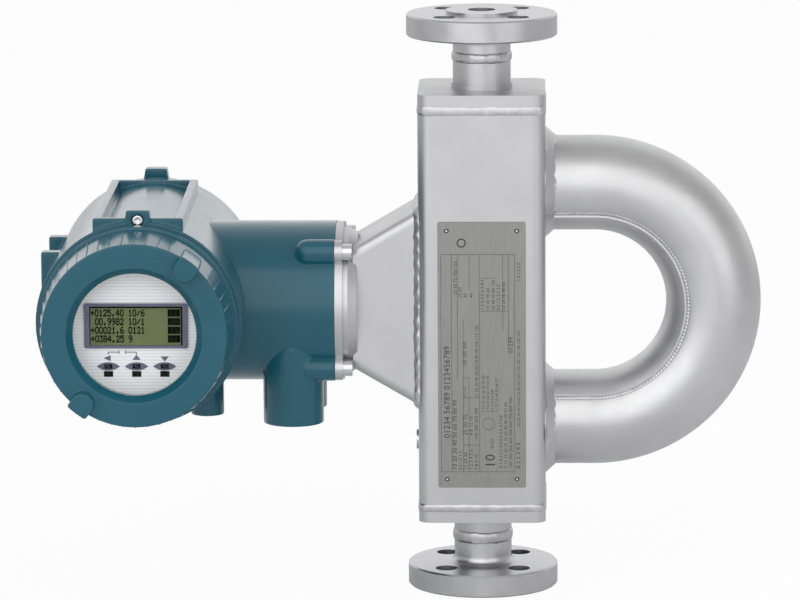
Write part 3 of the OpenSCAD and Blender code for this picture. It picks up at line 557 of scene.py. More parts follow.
def loop_path(spacing, start):
    """The pipe's centre line in the X-Z plane, from start along the lower leg, round and back."""
    legs = max(2, round((BEND_X - start) / spacing))
    t = np.linspace(-math.pi / 2, math.pi / 2, round(math.pi * BEND_R / spacing))
    x = np.linspace(start, BEND_X, legs, endpoint=False)
    lower = np.stack([x, np.full(legs, -BEND_R)], -1)
    bend = np.stack([BEND_X + BEND_R * np.cos(t), BEND_R * np.sin(t)], -1)
    return np.concatenate([lower, bend, lower[::-1] * (1, -1)])


def away_from_loop(path):
    """Directions from the loop's own middle line to the path, within its plane."""
    around = path - (BEND_X, 0)
    around[path[:, 0] < BEND_X, 0] = 0
    return around / np.linalg.norm(around, axis=1)[:, None]


def add_loop_pipe(strip_half, strip_rise):
    """The U-shaped pipe as one swept surface.

    At angle a from the outer side the section's radius is R, plus the closing strip's rise where
    a is within strip_half of the inner side, eased at the strip's edge, less a shallow groove
    beside it. These angles are in degrees.
    """
    ease, beside, groove_width, groove_depth = 1.6, 1.2, 0.9, 0.35 * MM
    path = loop_path(1.6 * MM, BOX_HALF - 3 * MM)
    out = away_from_loop(path)
    a = np.linspace(0, TURN, 192, endpoint=False)
    off = np.degrees(np.abs(a - math.pi))
    edge = np.clip((strip_half - off) / ease, 0, 1)
    groove = np.exp(-(((off - strip_half - beside) / groove_width) ** 2))
    radius = PIPE_R + strip_rise * edge**2 * (3 - 2 * edge) - groove_depth * groove
    plane = out[:, None] * (radius * np.cos(a))[None, :, None]
    y = np.broadcast_to(radius * np.sin(a), plane.shape[:2])
    points = path[:, None] + plane
    points = np.stack([points[..., 0], y, points[..., 1] + AXIS_Z], -1)
    piece = add_grids("loop_pipe", [with_ends(points)], "pipe", slot="stainless")
    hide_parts("loop_shell", "loop_strip")


def add_seam_beads(strip_half, width, height):
    """The two welds that join the closing strip to the pipe, each a bead on the strip's edge."""
    angle = math.radians(strip_half + 0.8)
    inward = PIPE_R * math.cos(angle)
    path = loop_path(0.45 * MM, BOX_HALF)
    path = path - away_from_loop(path) * inward
    for name, way in (("front_seam_weld", -1), ("rear_seam_weld", 1)):
        place = ((0, way * PIPE_R * math.sin(angle), AXIS_Z), ((1, 0, 0), (0, 0, 1), (0, way, 0)))
        # The path turns anticlockwise, so its outward normal is turned round to face the strip
        add_bead(
            name, path, place, math.pi - angle, width, height, 2.3 * MM,
            seed=5 + way, close=False, ripple=0.65,
        )


def add_loop_collars(length, rise):
    """The flared weld where each leg meets the box: a cone that eases into the pipe, with ripples.

    Its radius at share u of its reach is R + rise (1 - u)^1.7, and ripples of weld metal lift the
    cone between its ends; slow waves move its rise and its reach.
    """
    ripples, ripple_lift, proud, sunk = 14, 0.75 * MM, 0.1 * MM, 0.3 * MM
    u = np.linspace(0, 1, 22)[:, None]
    t = np.linspace(0, TURN, 420, endpoint=False)[None]
    turns = t / TURN
    for name, z, seed in (("lower_collar", -BEND_R, 3), ("upper_collar", BEND_R, 4)):
        edge = 1 + 0.16 * waves(turns, seed, (2, 5, 9, 14))
        reach = length * (1 + 0.2 * waves(turns, seed + 20, (3, 6, 11, 19)))
        ripple = np.abs(np.sin(ripples * t + 1.4 * waves(turns, seed + 7, (3, 8)) + 1.6 * u))
        lift = ripple_lift * ripple * np.sin(math.pi * u) ** 0.7
        radius = PIPE_R + proud + rise * edge * (1 - u) ** 1.7 + lift
        x = BOX_HALF - sunk + reach * u
        surface = np.stack([x, radius * np.cos(t), radius * np.sin(t)], -1)
        inner = surface[[-1, 0]].copy()
        inner[..., 1:] *= (PIPE_R - 1 * MM) / radius[[-1, 0], :, None]
        points = np.concatenate([surface, inner]) + (0, 0, AXIS_Z + z)
        add_grids(name, [points], "weld", True, slot="stainless", sharp=60)


# ---------------------------------------------------------------- box, necks and adapter


def add_box_welds():
    """Beads round both necks, both end caps and the adapter's foot."""
    up = ((1, 0, 0), (0, 1, 0), (0, 0, 1))
    neck = circle(NECK_R, 0.6 * MM)
    side = rounded_rectangle(2 * BOX_HALF, 2 * BOX_HALF, 8 * MM, 0.7 * MM)
    cap_z = CAP_HIGH.z
    # Each bead's name, path, place up the axis, width, rise, pitch and ripple
    rings = (
        ("lower_neck_weld", neck, AXIS_Z - 151 * MM, 7.4 * MM, 0.9 * MM, 2.6 * MM, 0.12),
        ("upper_neck_weld", neck, AXIS_Z + 156 * MM, 6.2 * MM, 0.9 * MM, 2.6 * MM, 0.12),
        ("lower_cap_weld", side, cap_z + 2.7 * MM, 4.6 * MM, 0.5 * MM, 2.8 * MM, 0.1),
        ("upper_cap_weld", side, TOP_Z - cap_z - 3.3 * MM, 5.4 * MM, 0.5 * MM, 2.8 * MM, 0.1),
    )
    for seed, (name, path, z, width, height, pitch, ripple) in enumerate(rings):
        add_bead(
            name, path, ((0, 0, z), up), 0, width, height, pitch, seed=30 + seed, ripple=ripple
        )
    low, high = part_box("adapter_shell")
    foot = rounded_rectangle(high.y - low.y, high.z - low.z, 5 * MM, 0.6 * MM)
    place = ((-BOX_HALF, 0, AXIS_Z), ((0, -1, 0), (0, 0, 1), (-1, 0, 0)))
    add_bead(
        "adapter_weld", foot, place, math.radians(40), 8.0 * MM, 2.4 * MM, 9 * MM, seed=41,
        ripple=0.22,
    )


def add_adapter(edge, fall):
    """The sheet-metal adapter as a lofted surface.

    Section u is a rounded rectangle whose height falls evenly from the box to the transmitter, as
    its corners move in and its straight sides shorten; both ends are closed.
    """
    low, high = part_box("adapter_shell")
    tall = high.z - low.z
    outline = rounded_rectangle(high.y - low.y, tall, edge, 1.2 * MM)
    across, up = outline.T
    u = np.linspace(0, 1, 12)[:, None]
    height = tall - fall * u
    straight = up * (height / 2 - edge) / (tall / 2 - edge)
    corner = up + np.sign(up) * (height - tall) / 2
    z = np.where(np.abs(up) <= tall / 2 - edge, straight, corner)
    x = np.broadcast_to(high.x + (low.x - high.x) * u, z.shape)
    points = np.stack([x, np.broadcast_to(across, z.shape), z + AXIS_Z], -1)
    piece = add_grids("adapter_sheet", [with_ends(points)], "stainless")
    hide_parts("adapter_shell")


def add_rivets():
    """Four hollow rivets: domed heads, bright middle pins, and ring grooves in painted shade."""
    low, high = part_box("plate_rivets")
    head = np.array(
        [(0, 0.5), (0.7, 0.5), (0.85, 0.05), (1.45, 0.05), (1.5, 0.4), (1.65, 0.5), (1.8, 0.4),
         (1.85, 0), (1.8, -0.6), (0, -0.6)]
    ) * MM
    groove = np.array([(0.8, 0.02), (0.9, 0.14), (1.42, 0.14), (1.48, 0.02)]) * MM
    angles = np.linspace(0, TURN, 32, endpoint=False)
    inset = 2 * MM
    places = [
        ((x, PLATE_Y, z), FRONT[1])
        for x in (low.x + inset, high.x - inset)
        for z in (low.z + inset, high.z - inset)
    ]
    heads, grooves = (
        [placed(turned(profile, angles), place) for place in places] for profile in (head, groove)
    )
    piece = add_grids("rivet_heads", heads, "fastener", sharp=50)
    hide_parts("plate_rivets")
    # The grooves are dark ink: painted shade in the rivets' ring gaps
    add_grids("rivet_groove_shade", grooves, "print_ink", True, slot="fastener")


# ---------------------------------------------------------------- castings


def to_cylinder(points, centre, axis, radius, band):
    """Points within band of a cylinder's radius move onto it, eased over the band's outer half."""
    local = points - np.array(centre)
    local[:, axis] = 0
    distance = np.linalg.norm(local, axis=1)
    pull = np.clip(2 - np.abs(distance - radius) * 2 / band, 0, 1)[:, None]
    return points + pull * local * (radius / np.maximum(distance, 1e-6) - 1)[:, None]


def round_normals(mesh, cylinders):
    """Corners on a cylinder, of faces that lie along it, get the cylinder's own normal."""
    at = read(mesh.vertices, "co", 3)[read(mesh.loops, "vertex_index", 1, np.int32)[:, 0]]
    sides = read(mesh.polygons, "loop_total", 1, np.int32)[:, 0]
    facing = np.repeat(read(mesh.polygons, "normal", 3), sides, axis=0)
    normals = np.zeros((len(at), 3))
    for centre, axis, radius in cylinders:
        local = at - np.array(centre)
        local[:, axis] = 0
        distance = np.maximum(np.linalg.norm(local, axis=1), 1e-9)
        local /= distance[:, None]
        along = np.einsum("ij,ij->i", local, facing) > 0.97
        fits = along & (np.abs(distance - radius) < 0.03 * MM)
        normals[fits] = local[fits]
    mesh.normals_split_custom_set(normals.tolist())


def add_casting(voxel, passes, most):
    """The transmitter's casting as one even skin of at most so many triangles.

    The solid is rebuilt on even voxels, smoothed so that edges and roots round off a little, and
    drawn back onto the barrel's and the neck's true cylinders.
    """
    mesh = frame["nodes"]["transmitter_housing"].data.copy()
    merge(mesh, 1e-5)
    source = bpy.data.objects.new("casting_source", mesh)
    bpy.context.scene.collection.objects.link(source)
    rebuild = source.modifiers.new("voxels", "REMESH")
    rebuild.mode = "VOXEL"
    rebuild.voxel_size = voxel
    ease = source.modifiers.new("ease", "SMOOTH")
    ease.factor = 0.5
    ease.iterations = passes
    graph = bpy.context.evaluated_depsgraph_get()
    triangles = len(source.evaluated_get(graph).data.polygons) * 2
    thin = source.modifiers.new("thin", "DECIMATE")
    thin.ratio = min(1.0, most / triangles)
    graph = bpy.context.evaluated_depsgraph_get()
    skin = bpy.data.meshes.new_from_object(source.evaluated_get(graph))
    bpy.data.objects.remove(source)
    points = read(skin.vertices, "co", 3)
    for cylinder in (BARREL, TURRET):
        points = to_cylinder(points, *cylinder, 0.5 * MM)
    skin.vertices.foreach_set("co", points.ravel())
    skin.update()
    piece = show("transmitter_casting", skin, "teal_paint", sharp=45)
    round_normals(skin, (BARREL, TURRET))
    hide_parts("transmitter_housing")


def add_lock_screws():
    """The covers' lock screws with hexagon sockets; dark rings round them are painted bore shade.

    At angle t the socket's radius is a / cos(t's distance from the middle of its flat).
    """
    t = np.linspace(0, TURN, 48, endpoint=False)
    hexagon = 1 / np.cos(t % (TURN / 6) - TURN / 12)
    socket = np.array([(0, -3.4), (1.2, -3.0), (1.55, -3.0), (1.6, -1.1)]) * MM
    head = np.array(
        [(2.0, -0.9), (2.5, -0.9), (3.1, -1.15), (3.4, -1.7), (3.45, -5), (2, -5), (2, -8), (0, -8)]
    ) * MM
    ring = np.array([(3.5, -0.6), (4.2, -0.6), (4.2, -0.9), (3.5, -0.9)]) * MM
    inner = turned(socket, t) * np.stack([hexagon, hexagon, np.ones(t.size)], -1)
    surface = np.concatenate([inner, turned(head, t)])
    places = {
        "front_lock_screw": ((BODY_X, FRONT_Y, middle("front_lock_screw").z), FRONT[1]),
        "rear_lock_screw": ((BODY_X, REAR_Y, middle("rear_lock_screw").z), REAR[1]),
    }
    for name, place in places.items():
        piece = add_grids(name + "_head", [placed(surface, place)], "fastener", sharp=30)
        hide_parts(name)
    # A dark rubber ring round each head, sunk under the face, is painted shade for the deep bore
    for name, place in places.items():
        add_grids(name + "_seal", [placed(turned(ring, t), place)], "seal_rubber", True, sharp=30)


# The grip band's ribs, where points are spaced closer near each rib, and the thread, in mm
RIBS = 48
RIB_STEPS = np.array([-0.5, -0.25, -0.11, -0.075, -0.05, -0.025, 0, 0.025, 0.05, 0.075, 0.11, 0.25])
RIB_PITCH, RIB_HALF, RIB_RISE = 7.5, 0.36, 0.6
THREAD_R, THREAD_PITCH, THREAD_DEPTH = 53.95, 2, 0.75


def cover_profile(height, window):
    """The cover's section (r, h) in mm: outside from the middle or the window, then inside."""
    outside = [(57, height, 0.8), (60.2, 7.2, 0.4), (62, 7, 0.4), (62, 0, 0.3)]
    spigot = [(THREAD_R, 0, 0), (THREAD_R, -14, 0.6), (50, -14, 0.6)]
    if window:
        start = [(38, 32, 0), (38, 37, 0.4), (42, height, 0.35)]
        inside = [(50, 20, 0), (47, 20, 0), (47, 26, 0), (44.05, 26, 0), (44.05, 32, 0)]
        inside.append(start[0])
    else:
        start = [(0, height, 0)]
        inside = [(50, height - 5, 1), (0, height - 5, 0)]
    return rounded(start + outside + spigot + inside, 6)


def fill_profile(profile, longest):
    """The profile with points added so that no step is longer than the given length."""
    parts = []
    for a, b in zip(profile[:-1], profile[1:]):
        count = max(1, math.ceil(np.linalg.norm(b - a) / longest))
        parts.append(a + (b - a) * np.linspace(0, 1, count, endpoint=False)[:, None])
    return np.concatenate(parts + [profile[-1:]])


def add_cover(name, node, place, height, window, lug_angle, body):
    """A screwed cover: a revolved section with ribs round its grip band and a thread on its spigot.

    At angle t the band stands out by a narrow bump at each rib, flat between ribs, fading at both
    ends and bare for some degrees on each side of a lug; the spigot's radius follows a triangle
    wave of h / pitch - t / turn.
    """
    foot, edge, bare_half = 7.4, height - 0.9, 8.6
    profile = fill_profile(cover_profile(height, window), 1.9)
    r, h = profile.T
    on_band = (h > foot) & (h < edge) & (r > 56)
    fade = np.clip((h - foot) / 1.2, 0, 1) * np.clip((edge - h) / 1.0, 0, 1) * on_band
    angles = (np.arange(RIBS)[:, None] + 1 + RIB_STEPS).ravel() * TURN / RIBS
    from_rib = np.abs((angles * RIBS / TURN + 0.5) % 1 - 0.5) * RIB_PITCH
    from_lug = np.abs((np.degrees(angles) - lug_angle + 450) % 180 - 90)
    clear = np.clip((from_lug - bare_half) / 0.6, 0, 1)
    rib = RIB_RISE * np.clip(1.6 - from_rib / RIB_HALF, 0, 1) * clear
    on_thread = (np.abs(r - THREAD_R) < 0.15) & (h < -0.5)
    turn = (h[:, None] / THREAD_PITCH - angles / TURN) % 1
    thread = -THREAD_DEPTH * np.abs(2 * turn - 1) * on_thread[:, None]
    bulge = fade[:, None] * rib + thread
    points = placed(turned(profile, angles, bulge) * MM, place)
    piece = add_grids(name, [points], "teal_paint", window, body=body, sharp=40)
    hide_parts(node)


def add_lugs(name, place, height, lug_angle, body):
    """Two wrench lugs: the outline of a slot with a round nose, carried up a filleted profile.

    The outline is moved along its own normal by the profile's offset; the foot flares where the lug
    leaves the face, and the top edge is rounded.
    """
    width, rise, nose, outer = 14.0, 7.0, 52.4, 59.2
    t = np.linspace(math.pi / 2, 1.5 * math.pi, 25)
    arc = np.stack([nose + width / 2 * np.cos(t), width / 2 * np.sin(t)], -1)
    reach = math.asin(width / 2 / outer)
    t = np.linspace(-reach, reach, 5)
    back = np.stack([outer * np.cos(t), outer * np.sin(t)], -1)
    corners = np.concatenate([arc, back])
    radii = np.zeros(len(corners))
    radii[[len(arc), -1]] = 1.6
    outline = evenly(rounded(np.column_stack([corners, radii]), 6, close=True), 0.7)
    tangent = np.roll(outline, -1, 0) - np.roll(outline, 1, 0)
    tangent /= np.linalg.norm(tangent, axis=1)[:, None]
    normal = np.stack([tangent[:, 1], -tangent[:, 0]], -1)
    top = height + rise
    flare = [(1.5, height - 0.05), (0.8, height + 0.3), (0.35, height + 0.8), (0.1, height + 1.5)]
    edge = rounded([(0, top - 3, 0), (-0.1, top, 0.8), (-1, top, 0)], 6)
    profile = np.concatenate([[(0, 7.5), (0, height - 1)], flare, edge])
    onface = np.clip((56.5 - np.linalg.norm(outline, axis=1)) / 1.5, 0, 1)
    offset = np.where(profile[:, 0, None] > 0, profile[:, 0, None] * onface, profile[:, 0, None])
    flat = outline[None] + normal[None] * offset[..., None]
    lift = np.broadcast_to(profile[:, 1, None], offset.shape)
    surface = with_ends(np.concatenate([flat, lift[..., None]], -1))
    c, s = math.cos(math.radians(lug_angle)), math.sin(math.radians(lug_angle))
    lugs = []
    for way in (1, -1):
        spin = np.array([(c * way, s * way, 0), (-s * way, c * way, 0), (0, 0, 1)])
        lugs.append(placed(surface @ spin * MM, place))
    add_grids(name, lugs, "teal_paint", body=body)


# ---------------------------------------------------------------- display and plate print

GLYPHS = {
    "0": (14, 17, 17, 17, 17, 17, 14), "1": (4, 12, 4, 4, 4, 4, 14), "2": (14, 17, 1, 2, 4, 8, 31),
    "3": (31, 2, 4, 2, 1, 17, 14), "4": (2, 6, 10, 18, 31, 2, 2), "5": (31, 16, 30, 1, 1, 17, 14),
    "6": (6, 8, 16, 30, 17, 17, 14), "7": (31, 1, 2, 4, 8, 8, 8), "8": (14, 17, 17, 14, 17, 17, 14),
    "9": (14, 17, 17, 15, 1, 2, 12), ".": (0, 0, 0, 0, 0, 12, 12), "+": (0, 4, 4, 31, 4, 4, 0),
    " ": (0, 0, 0, 0, 0, 0, 0), "/": (0, 1, 2, 4, 8, 16, 0), "=": (31, 31, 21, 31, 17, 31, 31),
    "|": (31, 23, 31, 21, 31, 29, 31), "-": (31, 27, 31, 31, 21, 31, 31),
}
CUBE = np.array([(x, y, z) for z in (-1, 1) for y in (-1, 1) for x in (-1, 1)], float)
CUBE_QUADS = np.array(
    [(0, 2, 3, 1), (4, 5, 7, 6), (0, 1, 5, 4), (2, 6, 7, 3), (0, 4, 6, 2), (1, 3, 7, 5)]
)


def add_bars(name, bars, half_thick, place, finish, slot=None):
    """Small blocks (across, up, half width, half height) that straddle their place's plane."""
    bars = np.asarray(bars, float)
    level = np.zeros(len(bars))
    centres = np.column_stack([bars[:, :2], level])
    halves = np.column_stack([bars[:, 2:], level + half_thick])
    points = centres[:, None] + CUBE[None] * halves[:, None]
    quads = CUBE_QUADS[None] + 8 * np.arange(len(bars))[:, None, None]
    return add_piece(name, placed(points, place), quads.reshape(-1, 4), finish, slot=slot, sharp=20)


def dot_rows(lines, left, top, across, down):
    """Centres of the lit dots of lines of 5 x 7 characters, set 6 dots apart and 9 down."""
    return np.array(
        [
            (left + (column * 6 + x) * across, top - (row * 9 + y) * down)
            for row, line in enumerate(lines)
            for column, letter in enumerate(line)
            for y, bits in enumerate(GLYPHS[letter])
            for x in range(5)
            if bits >> (4 - x) & 1
        ]
    )


def add_lcd_digits(lines, marks):
    """Lines of plain numbers on the liquid crystal panel, a column of dark marks, painted bezel
    shade.
    """
    low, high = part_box("lcd_panel")
    half_w, half_h = (high.x - low.x) / 2, (high.z - low.z) / 2
    place = ((BODY_X, low.y, middle("lcd_panel").z), FRONT[1])
    across, down = 0.43 * MM, 0.6 * MM
    for name, rows, left, bold in (
        ("lcd_digits", lines, 1.0 * MM - half_w, 0.78), ("lcd_marks", marks, half_w - 8.6 * MM, 0.9)
    ):
        dots = dot_rows(rows, left, half_h - 2.2 * MM, across, down)
        size = np.broadcast_to((across * bold, down * bold), dots.shape)
        bars = np.column_stack([dots, size])
        add_bars(name, bars, 0.04 * MM, place, "lcd_ink", slot="lcd_glass")
    # A dark border along the top and both sides is painted shadow of the bezel's depth
    rim = 0.5 * MM
    bars = [
        (0, half_h - rim, half_w, rim), (half_w - rim, 0, rim, half_h),
        (rim / 2 - half_w, 0, rim / 2, half_h),
    ]
    add_bars("lcd_bezel_shadow", bars, 0.05 * MM, place, "lcd_ink", slot="lcd_glass")


def add_key_marks(lens_width, triangle):
    """Dark lenses in the keys with painted glints, a triangle over each and a bracket over two."""
    low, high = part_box("key_lenses")
    pitch = (high.x - low.x - lens_width) / 2
    key_z = (low.z + high.z) / 2
    keys = (-pitch, 0, pitch)
    lens = ((BODY_X, low.y, key_z), FRONT[1])
    dots = [(x, 0, 2.5 * MM, 1.45 * MM) for x in keys]
    add_bars("key_lens_dots", dots, 0.12 * MM, lens, "black_plastic")
    # Two small light blocks on each lens are painted glints of reflected light
    glints = [
        (x + shift * MM, lift * MM, 0.25 * MM, 0.45 * MM)
        for x in keys
        for shift, lift in ((-0.7, 0.2), (0.5, -0.3))
    ]
    add_bars("key_lens_glints", glints, 0.15 * MM, lens, "slate_plastic")
    face = ((BODY_X, FRONT_Y - FACE_H, key_z), FRONT[1])
    thick = 0.03 * MM
    t = np.linspace(0, TURN, 3, endpoint=False)
    shapes = []
    for x, lean in zip(keys, (math.pi, math.pi / 2, -math.pi / 2)):
        ring = np.stack([np.cos(t + lean), 0.75 * np.sin(t + lean)], -1) * triangle
        ring += (x, 5.1 * MM)
        solid = np.array([np.column_stack([ring, np.full(3, z)]) for z in (-thick, thick)])
        shapes.append(placed(with_ends(solid), face))
    add_grids("key_triangles", shapes, "slate_plastic", slot="white_face", sharp=20)
    line, up = 0.25 * MM, 8.9 * MM
    low_end = up - 0.7 * MM
    bars = [
        (-0.8 * pitch, up, 0.2 * pitch, line), (-0.2 * pitch, up, 0.2 * pitch, line),
        (-pitch, low_end, line, 0.8 * MM), (0, low_end, line, 0.8 * MM),
        (-0.62 * pitch, up, line, 1.1 * MM), (-0.38 * pitch, up, line, 1.1 * MM),
    ]
    add_bars("key_bracket", bars, thick, face, "print_ink", slot="white_face")


# The name plate's print in millimetres, across from its left edge and up from its foot.
# Lines up the plate are (across, from, to), and lines across it (up, from, to)
PLATE_LINES_UP = (
    (1.9, 10.2, 149), (48, 10.2, 149), (8.6, 10.2, 149), (12.3, 70, 149), (15.8, 10.2, 108),
    (19.4, 10.2, 70), (19.6, 126, 149), (26, 10.2, 149), (40.7, 100, 149), (44.2, 90, 149),
)
PLATE_LINES_ACROSS = (
    (10.2, 1.9, 48), (149, 1.9, 48), (27.4, 15.8, 26), (57.6, 15.8, 26), (70.5, 15.8, 19.4),
    (113, 26, 44.2), (134, 26, 36),
)
# A ring is its name, across, up, radius and line width
PLATE_RINGS = (
    ("plate_ring_mark", 14.8, 156.2, 2.9, 0.8), ("plate_wide_ring", 31.7, 41.0, 3.9, 0.25),
)
# A row is across, up, the size and the numbers
PLATE_ROWS = (
    (7.4, 31.7, 5.6, "01234 56789 0123456789"),
    (11.6, 11.4, 4.0, "10 20 30 40 50 60 70 80 90"),
    (12.0, 123.5, 3.0, "25 50 75 100 125"),
    (14.8, 11.4, 2.9, "0.5 1.0 1.5"),
    (14.8, 121.4, 3.0, "10 20"),
    (18.2, 11.4, 3.2, "12 24 36"),
    (18.2, 33.6, 3.8, "25 50 75"),
    (17.6, 58.0, 2.6, "0.1 0.2"),
    (17.8, 77.3, 3.2, "100 200 300"),
    (18.2, 121.4, 3.0, "30"),
    (21.6, 11.4, 3.0, "1 2 3 4 5 6"),
    (21.6, 33.6, 3.2, "4 8 12 16"),
    (21.9, 121.4, 3.0, "40"),
    (24.9, 11.4, 3.0, "7 8 9 10"),
    (24.9, 30.8, 3.0, "150 200 250 300"),
    (25.2, 57.6, 2.8, "10 20 30 40 50 60 70 80 90 100 110 120"),
    (29.3, 48.4, 2.5, "5 10 15 20 25 30 35 40"),
    (32.0, 48.4, 2.5, "2 4 6 8 10 12 14 16 18"),
    (34.8, 48.4, 2.5, "0.2 0.4 0.6 0.8"),
    (37.6, 48.4, 2.5, "11 22 33 44 55 66 77"),
    (34.8, 25.3, 3.0, "0123"),
    (35.6, 12.6, 9.0, "10"),
    (40.3, 12.6, 2.9, "0.1 0.2 0.3 0.4 0.5 0.6 0.7 0.8"),
    (43.4, 12.6, 2.9, "5 10 15 20 25 30 35 40 45 50 55 60"),
    (46.5, 12.6, 2.9, "100 200 300 400 500 600 700 800 900"),
    (46.8, 86.0, 4.2, "01234"),
    (51.5, 12.3, 3.8, "0 1 2 3 4 5"),
    (51.5, 39.0, 2.6, "10 20 30 40 50 60 70 80 90 100 110 120 130 140 150 160"),
    (51.5, 132.0, 2.8, "1.0 1.5 2.0"),
    (28.9, 113.6, 2.9, "1 2 3 4 5 6 7 8 9"),
    (32.3, 113.6, 2.9, "15 30 45 60"),
    (35.7, 113.6, 2.9, "20 40 60 80 100"),
    (38.8, 113.6, 2.9, "0.5 1.5 2.5 3.5"),
    (42.2, 113.6, 2.9, "12 24 36 48 60"),
)


def add_name_plate():
    """The etched plate with its thin frame, ruled cells, rows of plain numbers and two rings."""
    low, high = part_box("name_plate")
    half = np.array((high.x - low.x, high.z - low.z)) / 2
    depth = high.y - low.y
    place = ((low.x, PLATE_Y, low.z), ((0, 0, 1), (1, 0, 0), (0, -1, 0)))
    outline = rounded_rectangle(*(2 * half), 1.2 * MM, 0.5 * MM)
    inner = outline * (half - 0.15 * MM) / half
    rows = [(inner, -depth), (outline, -depth), (outline, -0.15 * MM), (inner, 0)]
    surface = np.array(
        [np.column_stack([(ring + half)[:, ::-1], np.full(len(ring), h)]) for ring, h in rows]
    )
    points = placed(with_ends(surface), place)
    piece = add_grids("name_plate_sheet", [points], "plate_metal", sharp=30)
    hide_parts("name_plate")
    line = 0.12
    bars = [((b + c) / 2, a, (c - b) / 2, line) for a, b, c in PLATE_LINES_UP]
    bars += [(a, (b + c) / 2, line, (c - b) / 2) for a, b, c in PLATE_LINES_ACROSS]
    bars = np.array(bars) * MM
    add_bars("plate_rules", bars, 0.02 * MM, place, "print_ink", slot="plate_metal")
    add_numbers("plate_numbers", PLATE_ROWS, place)
    angles = np.linspace(0, TURN, 48, endpoint=False)
    for name, across, up, radius, width in PLATE_RINGS:
        corners = [(radius - width, -0.1), (radius - width, 0.06), (radius, 0.06), (radius, -0.1)]
        centre = ((low.x + across * MM, PLATE_Y, low.z + up * MM), FRONT[1])
        ring = placed(turned(np.array(corners), angles) * MM, centre)
        add_grids(name, [ring], "print_ink", True, slot="plate_metal")


def add_numbers(name, rows, place):
    """Plain numbers in the built-in font, each row running up the plate, as one flat mesh."""
    points, faces = [], []
    start = 0
    for across, up, size, words in rows:
        curve = bpy.data.curves.new(name, "FONT")
        curve.body = words
        curve.size = size * MM
        curve.resolution_u = 2
        holder = bpy.data.objects.new(name, curve)
        bpy.context.scene.collection.objects.link(holder)
        graph = bpy.context.evaluated_depsgraph_get()
        mesh = bpy.data.meshes.new_from_object(holder.evaluated_get(graph))
        bpy.data.objects.remove(holder)
        faces += [[start + v for v in face.vertices] for face in mesh.polygons]
        start += len(mesh.vertices)
        flat = read(mesh.vertices, "co", 3) * (1, -1, 1)
        points.append(flat + (up * MM, across * MM, 0.02 * MM))
    mesh = bpy.data.meshes.new(name)
    mesh.from_pydata(placed(np.concatenate(points), place).tolist(), [], faces)
    show(name, mesh, "print_ink")


# ---------------------------------------------------------------- stage


def set_world(front, side, back, soft):
    """A pale studio: white to the camera, and for gloss brighter before and behind than beside."""
    world = bpy.data.worlds.new("studio")
    bpy.context.scene.world = world
    world.use_nodes = True
    tree = world.node_tree
    tree.nodes.clear()
    way = add_node(tree, "ShaderNodeTexCoord").outputs["Generated"]
    ahead = add_node(
        tree, "ShaderNodeVectorMath", {1: (-0.10, -0.93, 0.36)}, {0: way}, operation="DOT_PRODUCT"
    )
    behind = add_node(tree, "ShaderNodeSeparateXYZ", links={0: way})
    lobes = []
    for value, start, end, gain in (
        (ahead.outputs["Value"], 0.45, 0.95, front - side),
        (behind.outputs["Y"], 0.25, 0.8, back - side),
    ):
        lobe = add_node(
            tree,
            "ShaderNodeMapRange",
            {"From Min": start, "From Max": end, "To Max": gain},
            {"Value": value},
        )
        lobes.append(lobe.outputs["Result"])
    both = add_node(tree, "ShaderNodeMath", links={0: lobes[0], 1: lobes[1]}, operation="ADD")
    level = add_node(tree, "ShaderNodeMath", {1: side}, {0: both.outputs[0]}, operation="ADD")
    path = add_node(tree, "ShaderNodeLightPath").outputs
    sees = add_node(
        tree,
        "ShaderNodeMath",
        links={0: path["Is Camera Ray"], 1: path["Is Transmission Ray"]},
        operation="MAXIMUM",
    )
    white = (1, 1, 1, 1)
    gloss = add_node(tree, "ShaderNodeBackground", {"Color": white}, {"Strength": level.outputs[0]})
    dim = add_node(tree, "ShaderNodeBackground", {"Color": white, "Strength": soft})
    bright = add_node(tree, "ShaderNodeBackground", {"Color": white, "Strength": 1.0})
    lit = add_node(
        tree,
        "ShaderNodeMixShader",
        links={0: path["Is Glossy Ray"], 1: dim.outputs[0], 2: gloss.outputs[0]},
    )
    rays = add_node(
        tree,
        "ShaderNodeMixShader",
        links={0: sees.outputs[0], 1: lit.outputs[0], 2: bright.outputs[0]},
    )
    add_node(tree, "ShaderNodeOutputWorld", links={"Surface": rays.outputs[0]})


def add_floor(tone, share):
    """A pale floor: a share of what the camera sees is plain white, the rest holds the shadow."""
    mesh = bpy.data.meshes.new("floor")
    reach = 40.0
    corners = [(x * reach, y * reach, 0) for x, y in ((-1, -1), (1, -1), (1, 1), (-1, 1))]
    mesh.from_pydata(corners, [], [(0, 1, 2, 3)])
    floor = bpy.data.objects.new("floor", mesh)
    bpy.context.scene.collection.objects.link(floor)
    material, tree, shader = new_material("pale_floor", Base_Color=tone, Roughness=0.9)
    glow = add_node(tree, "ShaderNodeEmission", {"Color": (1, 1, 1, 1), "Strength": 1.0})
    path = add_node(tree, "ShaderNodeLightPath")
    camera = add_node(
        tree, "ShaderNodeMath", {1: share}, {0: path.outputs["Is Camera Ray"]}, operation="MULTIPLY"
    )
    both = add_node(
        tree,
        "ShaderNodeMixShader",
        links={0: camera.outputs[0], 1: shader.outputs[0], 2: glow.outputs[0]},
    )
    tree.links.new(both.outputs[0], tree.nodes["Material Output"].inputs["Surface"])
    mesh.materials.append(material)


def add_lamp(name, spot, target, size, power):
    """A square area lamp at a spot, facing its target."""
    data = bpy.data.lights.new(name, "AREA")
    data.shape = "SQUARE"
    data.size = size
    data.energy = power
    lamp = bpy.data.objects.new(name, data)
    bpy.context.scene.collection.objects.link(lamp)
    lamp.location = spot
    away = (lamp.location - target).normalized()
    lamp.rotation_mode = "QUATERNION"
    lamp.rotation_quaternion = away.to_track_quat("Z", "Y")


# Each lamp's name, spot, side in metres and power in watts
LAMPS = (
    ("key_lamp", (-0.9, -2.4, 1.3), 3.4, 32),
    ("fill_lamp", (1.6, -1.9, 0.9), 1.8, 7),
    ("top_lamp", (0.0, 0.6, 2.2), 2.0, 1),
)


